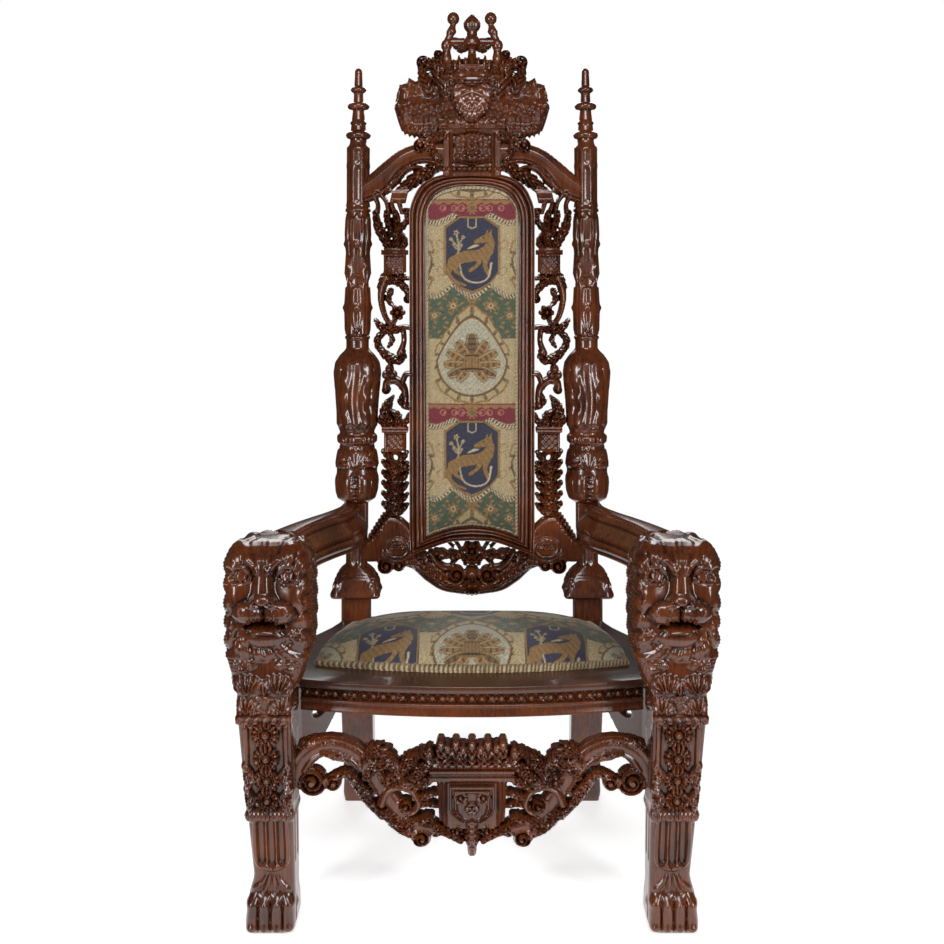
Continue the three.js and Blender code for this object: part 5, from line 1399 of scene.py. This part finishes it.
def tapestry(a, b):
    """Colour of the cloth at a mm across it and b mm along it, counted from the heart of a shield."""
    colour = np.ones(a.shape + (3,)) * np.array(CLOTH["cream"])
    hatch = np.cos(2 * np.pi * (a + b) / 6.5) + np.cos(2 * np.pi * (a - b) / 6.5)
    colour = dye(colour, "pale", (hatch > 0.6) * 0.8)
    colour = dye(colour, "tan", (hatch < -1.2) * 0.7)
    along = (b + REPEAT / 2) % REPEAT - REPEAT / 2
    half_column = np.abs((a + COLUMN_GAP / 4) % (COLUMN_GAP / 2) - COLUMN_GAP / 4)
    wave = np.cos(np.pi * half_column / (COLUMN_GAP / 4) / 2) ** 1.2
    bump = 1 - wave
    # green band under the shields, with gold rosettes, and red band over them, with pink scrolls
    green_top = -96 + 26 * bump - along
    green = np.minimum(green_top, along + 186)
    colour = dye(colour, "green", edge(green))
    ripple = np.cos(a / 4.1 + 1.5 * np.sin(b / 5)) * np.cos(b / 3.4)
    colour = dye(colour, "gold", edge(green - 3) * (ripple > 0.55))
    half = np.abs((a + COLUMN_GAP / 2) % COLUMN_GAP - COLUMN_GAP / 2)
    for rose_a, rose_b, rose_r in ((43, -112, 15), (86, -134, 12), (18, -134, 8)):
        away = np.hypot(half - rose_a, along - rose_b)
        rose = rose_r * (0.74 + 0.26 * np.cos(8 * np.arctan2(along - rose_b, half - rose_a))) - away
        colour = dye(dye(colour, "tan", edge(rose + 1)), "gold", edge(rose))
        colour = dye(colour, "cream", edge(rose_r * 0.42 - away))
        colour = dye(colour, "dark", edge(rose_r * 0.2 - np.hypot((half - rose_a) * 1.6, along - rose_b)))
    strap = 3.2 - np.abs(half - 0.75 * np.abs(along + 108)) * 0.8
    strap = np.where((along > -146) & (along < -82), strap, -5)
    colour = dye(dye(colour, "tan", edge(strap + 1)), "gold", edge(strap))
    red = np.minimum(along - 80 - 16 * bump, 128 - along)
    colour = dye(colour, "red", edge(red))
    for curl_a, curl_r in ((24, 9), (40, 8), (66, 8)):
        away = np.hypot(half - curl_a, along - 106)
        turn = np.arctan2(along - 106, half - curl_a)
        colour = dye(colour, "pink", line(away - curl_r * (0.75 + 0.2 * np.sin(turn)), 2.0))
        colour = dye(colour, "pink", edge(2.6 - np.hypot(half - curl_a + 3, along - 107)))
    star = np.hypot(half, along - 108)
    star_edge = 15 * (0.76 + 0.24 * np.cos(10 * np.arctan2(along - 108, half + 1e-6))) - star
    colour = dye(dye(colour, "gold", edge(star_edge)), "tan", edge(6 - star))
    fringe_edge = 121 - 5 * np.abs(np.sin(np.pi * a / 21.5)) - along
    colour = dye(colour, "gold", edge(-fringe_edge) * edge(9 - (along - 116)))
    # dashed borders of both bands
    for border, depth in ((-green_top - 5, 7), (80 + 16 * bump - along - 5, 7)):
        strip_in = depth / 2 + 1.5 - np.abs(border)
        colour = dye(colour, "pale", edge(strip_in))
        dash = np.cos(2 * np.pi * (a + 0.5 * border) / 7.0)
        colour = dye(colour, "dark", edge(strip_in - 0.5) * (dash > 0.15))
        colour = dye(colour, "tan", line(strip_in + 1.4, 1.2))
    # scrolls on the shields' ground
    for curl_a, curl_b in ((72, 26), (70, -34)):
        away = np.hypot(half - curl_a, along - curl_b)
        turn = np.arctan2(along - curl_b, half - curl_a)
        colour = dye(colour, "gold", line(away - 9 - 2 * np.sin(2 * turn), 2.2))
    # medallions with their leafy border
    ma, mb = nearest(a, b, -236)
    share = medallion_share(ma, mb)
    rim = (1.24 + 0.02 * np.cos(16 * np.arctan2(mb, ma)) - share) * 78
    colour = dye(colour, "tan", edge(rim + 1.2))
    colour = dye(colour, "gold", edge(rim))
    colour = dye(colour, "cream", edge(rim - 3.2))
    turn = np.arctan2(ma, mb)
    beads = 18
    spot_turn = (turn * beads / (2 * np.pi) + 0.5) % 1 - 0.5
    spot_away = np.hypot(spot_turn * 2 * np.pi * 92 / beads * 1.7, (share - 1.12) * 78)
    colour = dye(colour, "dark", edge(7.2 - spot_away) * edge(rim - 3))
    colour = dye(colour, "gold", edge(5.4 - spot_away) * edge(rim - 3))
    colour = dye(colour, "green", edge(2.6 - spot_away) * edge(rim - 3))
    colour = dye(colour, "tan", line((1.0 - share) * 78, 5.5))
    colour = dye(colour, "dark", line((1.035 - share) * 78, 1.4))
    colour = dye(colour, "pale", line((0.965 - share) * 78, 1.8))
    inner = share < 0.95
    colour[inner] = draw_palmette(colour[inner], ma[inner], mb[inner], share[inner])
    # shields
    sa, sb = nearest(a, b, 0)
    height_at = np.interp(np.abs(sa), [0, 28, 59], [84, 84, 62])
    foot_at = np.interp(np.abs(sa), [0, 20, 40, 52, 59], [-78, -70, -58, -44, -34])
    shield_in = np.minimum(59 - np.abs(sa), np.minimum((height_at - sb) * 0.8, (sb - foot_at) * 0.85))
    colour = dye(colour, "dark", edge(shield_in + 5.2))
    colour = dye(colour, "gold", edge(shield_in + 4))
    colour = dye(colour, "dark", edge(shield_in + 0.8))
    colour = dye(colour, "navy", edge(shield_in - 0.4))
    on_shield = shield_in > 0
    colour[on_shield] = draw_beast(colour[on_shield], sa[on_shield], sb[on_shield])
    over = np.minimum(9 - np.abs(sa), 0.9 * (sb - 62 - np.abs(sa) * 0.4))
    colour = dye(colour, "pale", line(over, 2.2) * on_shield)
    return colour


def tapestry_cloth(name):
    """Woven wool and cotton: the colour comes from the piece's own "woven" attribute, broken up by noise
    the size of a stitch, with fine cells of Voronoi noise as bump and a soft sheen."""
    cloth = bpy.data.materials.new(name)
    cloth.use_nodes = True
    nodes = cloth.node_tree.nodes
    links = cloth.node_tree.links
    shader = nodes["Principled BSDF"]
    shader.inputs["Roughness"].default_value = 0.9
    shader.inputs["Sheen Weight"].default_value = 0.25
    shader.inputs["Sheen Roughness"].default_value = 0.5
    shader.inputs["Specular IOR Level"].default_value = 0.25
    woven = nodes.new("ShaderNodeAttribute")
    woven.attribute_name = "woven"
    place = nodes.new("ShaderNodeTexCoord")
    stitches = nodes.new("ShaderNodeTexVoronoi")
    stitches.inputs["Scale"].default_value = 620
    fleck = nodes.new("ShaderNodeTexNoise")
    fleck.inputs["Scale"].default_value = 420
    fleck.inputs["Detail"].default_value = 3
    spread_tone = nodes.new("ShaderNodeMapRange")
    spread_tone.inputs["From Min"].default_value = 0.3
    spread_tone.inputs["From Max"].default_value = 0.7
    spread_tone.inputs["To Min"].default_value = 0.58
    spread_tone.inputs["To Max"].default_value = 1.36
    shade = nodes.new("ShaderNodeVectorMath")
    shade.operation = "SCALE"
    bump = nodes.new("ShaderNodeBump")
    bump.inputs["Strength"].default_value = 0.5
    bump.inputs["Distance"].default_value = 0.0008
    links.new(place.outputs["Object"], stitches.inputs["Vector"])
    links.new(place.outputs["Object"], fleck.inputs["Vector"])
    links.new(fleck.outputs["Fac"], spread_tone.inputs["Value"])
    links.new(woven.outputs["Color"], shade.inputs[0])
    links.new(spread_tone.outputs["Result"], shade.inputs["Scale"])
    links.new(shade.outputs["Vector"], shader.inputs["Base Color"])
    links.new(stitches.outputs["Distance"], bump.inputs["Height"])
    links.new(bump.outputs["Normal"], shader.inputs["Normal"])
    return cloth


cloth = tapestry_cloth("tapestry")


# ---- Back pad ----
# A stuffed panel inside the arched frame, pulled tight over its filling, so that it domes a little, with a
# braided gimp of cream and gold glued round its edge to hide the tacks.
def upholstered(name, node, face, rings, colour):
    """A padded piece: a grid of places over its face, rings of places that follow the grid's edge down its
    side, and one flat face behind. The colour of each place goes into its "woven" attribute."""
    rows, columns = face.shape[:2]
    count = rows * columns
    number = np.arange(count).reshape(rows, columns)
    loop = np.r_[number[0], number[1:, -1], number[-1, -2::-1], number[-2:0:-1, 0]]
    row, column = np.meshgrid(np.arange(rows - 1), np.arange(columns - 1), indexing="ij")
    first = number[row, column]
    faces = np.stack([first, first + 1, first + columns + 1, first + columns], -1).reshape(-1, 4).tolist()
    places = [face.reshape(-1, 3)]
    colours = [colour.reshape(-1, 3)]
    before = loop
    for move in rings:
        places.append(move(face.reshape(-1, 3)[loop]))
        colours.append(colour.reshape(-1, 3)[loop])
        after = count + np.arange(len(loop))
        faces += np.stack([before, after, np.roll(after, -1), np.roll(before, -1)], -1).tolist()
        count += len(loop)
        before = after
    faces.append(before.tolist()[::-1])
    places = np.vstack(places)
    faces = outward(places, faces)
    piece = set_down(name, node, places, faces, np.zeros(len(places)), cloth, "tapestry", crease=70)
    shades = np.hstack([np.vstack(colours), np.ones((len(places), 1))]).astype(np.float32)
    woven = piece.data.color_attributes.new("woven", "FLOAT_COLOR", "POINT")
    woven.data.foreach_set("color", shades.ravel())
    return piece


def braid(colour, inside, along, width):
    """A gimp of the given width along an edge: cream cords that cross each other over a gold ground, dark
    beside."""
    cords = np.cos(2 * np.pi * (along + 1.3 * inside) / 9)
    cords = np.maximum(cords, np.cos(2 * np.pi * (along - 1.3 * inside) / 9))
    colour = dye(colour, "dark", edge(width + 1.5 - inside))
    colour = dye(colour, "tan", edge(width - inside))
    return dye(colour, "pale", edge(width - inside) * (cords > 0.35))


pad_across = np.linspace(-107.2, 107.2, 106)[None, :]
arch_z = np.interp(np.abs(pad_across), [0, 36, 66, 87, 100, 107.3],
                   [1462.4, 1460.4, 1452.4, 1439.4, 1420.4, 1398])
foot_z = np.interp(np.abs(pad_across), [0, 46, 86, 107.3], [689.6, 684.6, 672.6, 662.8])
pad_up = np.linspace(0, 1, 410)[:, None]
pad_x = pad_across + 0 * pad_up
pad_z = foot_z + (arch_z - foot_z) * pad_up
rim_away = np.minimum(107.2 - np.abs(pad_x), np.minimum(pad_z - foot_z, (arch_z - pad_z) * 0.8))
corner = np.hypot(np.clip(np.abs(pad_x) - 60, 0, None) / 47.2, np.clip(pad_z - 1395, 0, None) / 67.4)
rim_away = np.minimum(rim_away, np.where(pad_z > 1395, (1 - corner) * 50, 999))
rim_away = np.clip(rim_away, 0, None)
gimp_lift = 2.6 * np.sqrt(np.clip(1 - ((rim_away - 4) / 4) ** 2, 0, 1))
pad_dome = 19 - 15 * (1 - np.exp(-rim_away / 26)) - gimp_lift
pad_face = np.stack([pad_x, BACK_FRONT + LEAN * (pad_z - SEAT) + pad_dome, pad_z], axis=-1)
pad_colour = braid(tapestry(pad_x, pad_z - 1303), rim_away, pad_z + pad_x, 6.5)
pad_rings = [lambda edge_places: edge_places + (0, 11, 0)]
upholstered("back_pad_cloth", "back_pad", pad_face, pad_rings, pad_colour)


# ---- Seat cushion ----
# A loose box-edged cushion of the same cloth, crowned in the middle and thin at its piped edge, bowed at
# the front like the board it lies on.
cushion_s = np.linspace(-1, 1, 270)[None, :]
cushion_t = np.linspace(0, 1, 140)[:, None]
cushion_half = np.interp(cushion_t, [0, 0.3, 0.6, 1], [321, 317, 300, 270])
cushion_front = 205 - 46 * (1 - cushion_s**2)
cushion_rear = 484 + 10 * (1 - cushion_s**2)
cushion_x = cushion_half * cushion_s
cushion_y = cushion_front + (cushion_rear - cushion_front) * cushion_t
edge_x = (1 - np.abs(cushion_s)) * cushion_half
cushion_run = cushion_rear - cushion_front
edge_y = np.minimum(cushion_t * cushion_run, (1 - cushion_t) * cushion_run)
crown_x = 1 - (1 - np.clip(edge_x / 200, 0, 1)) ** 2.4
crown_y = 1 - (1 - np.clip(edge_y / 135, 0, 1)) ** 2.4
cushion_edge = np.minimum(edge_x, edge_y)
piping = 2.4 * np.sqrt(np.clip(1 - ((cushion_edge - 2.5) / 2.6) ** 2, 0, 1))
cushion_z = SEAT + 9 + 51 * (crown_x * crown_y) ** 0.75 + piping
cushion_face = np.stack([cushion_x, cushion_y, cushion_z], axis=-1)
cushion_colour = braid(tapestry(cushion_x, cushion_y - 436), cushion_edge, cushion_x + cushion_y, 2.2)
cushion_rings = [
    lambda places: places * (1.002, 1, 0) + (0, 0, SEAT + 5),
    lambda places: places * (0.99, 1, 0) + (0, 0, SEAT + 0.5),
]
upholstered("seat_cushion_cloth", "seat_cushion", cushion_face, cushion_rings, cushion_colour)
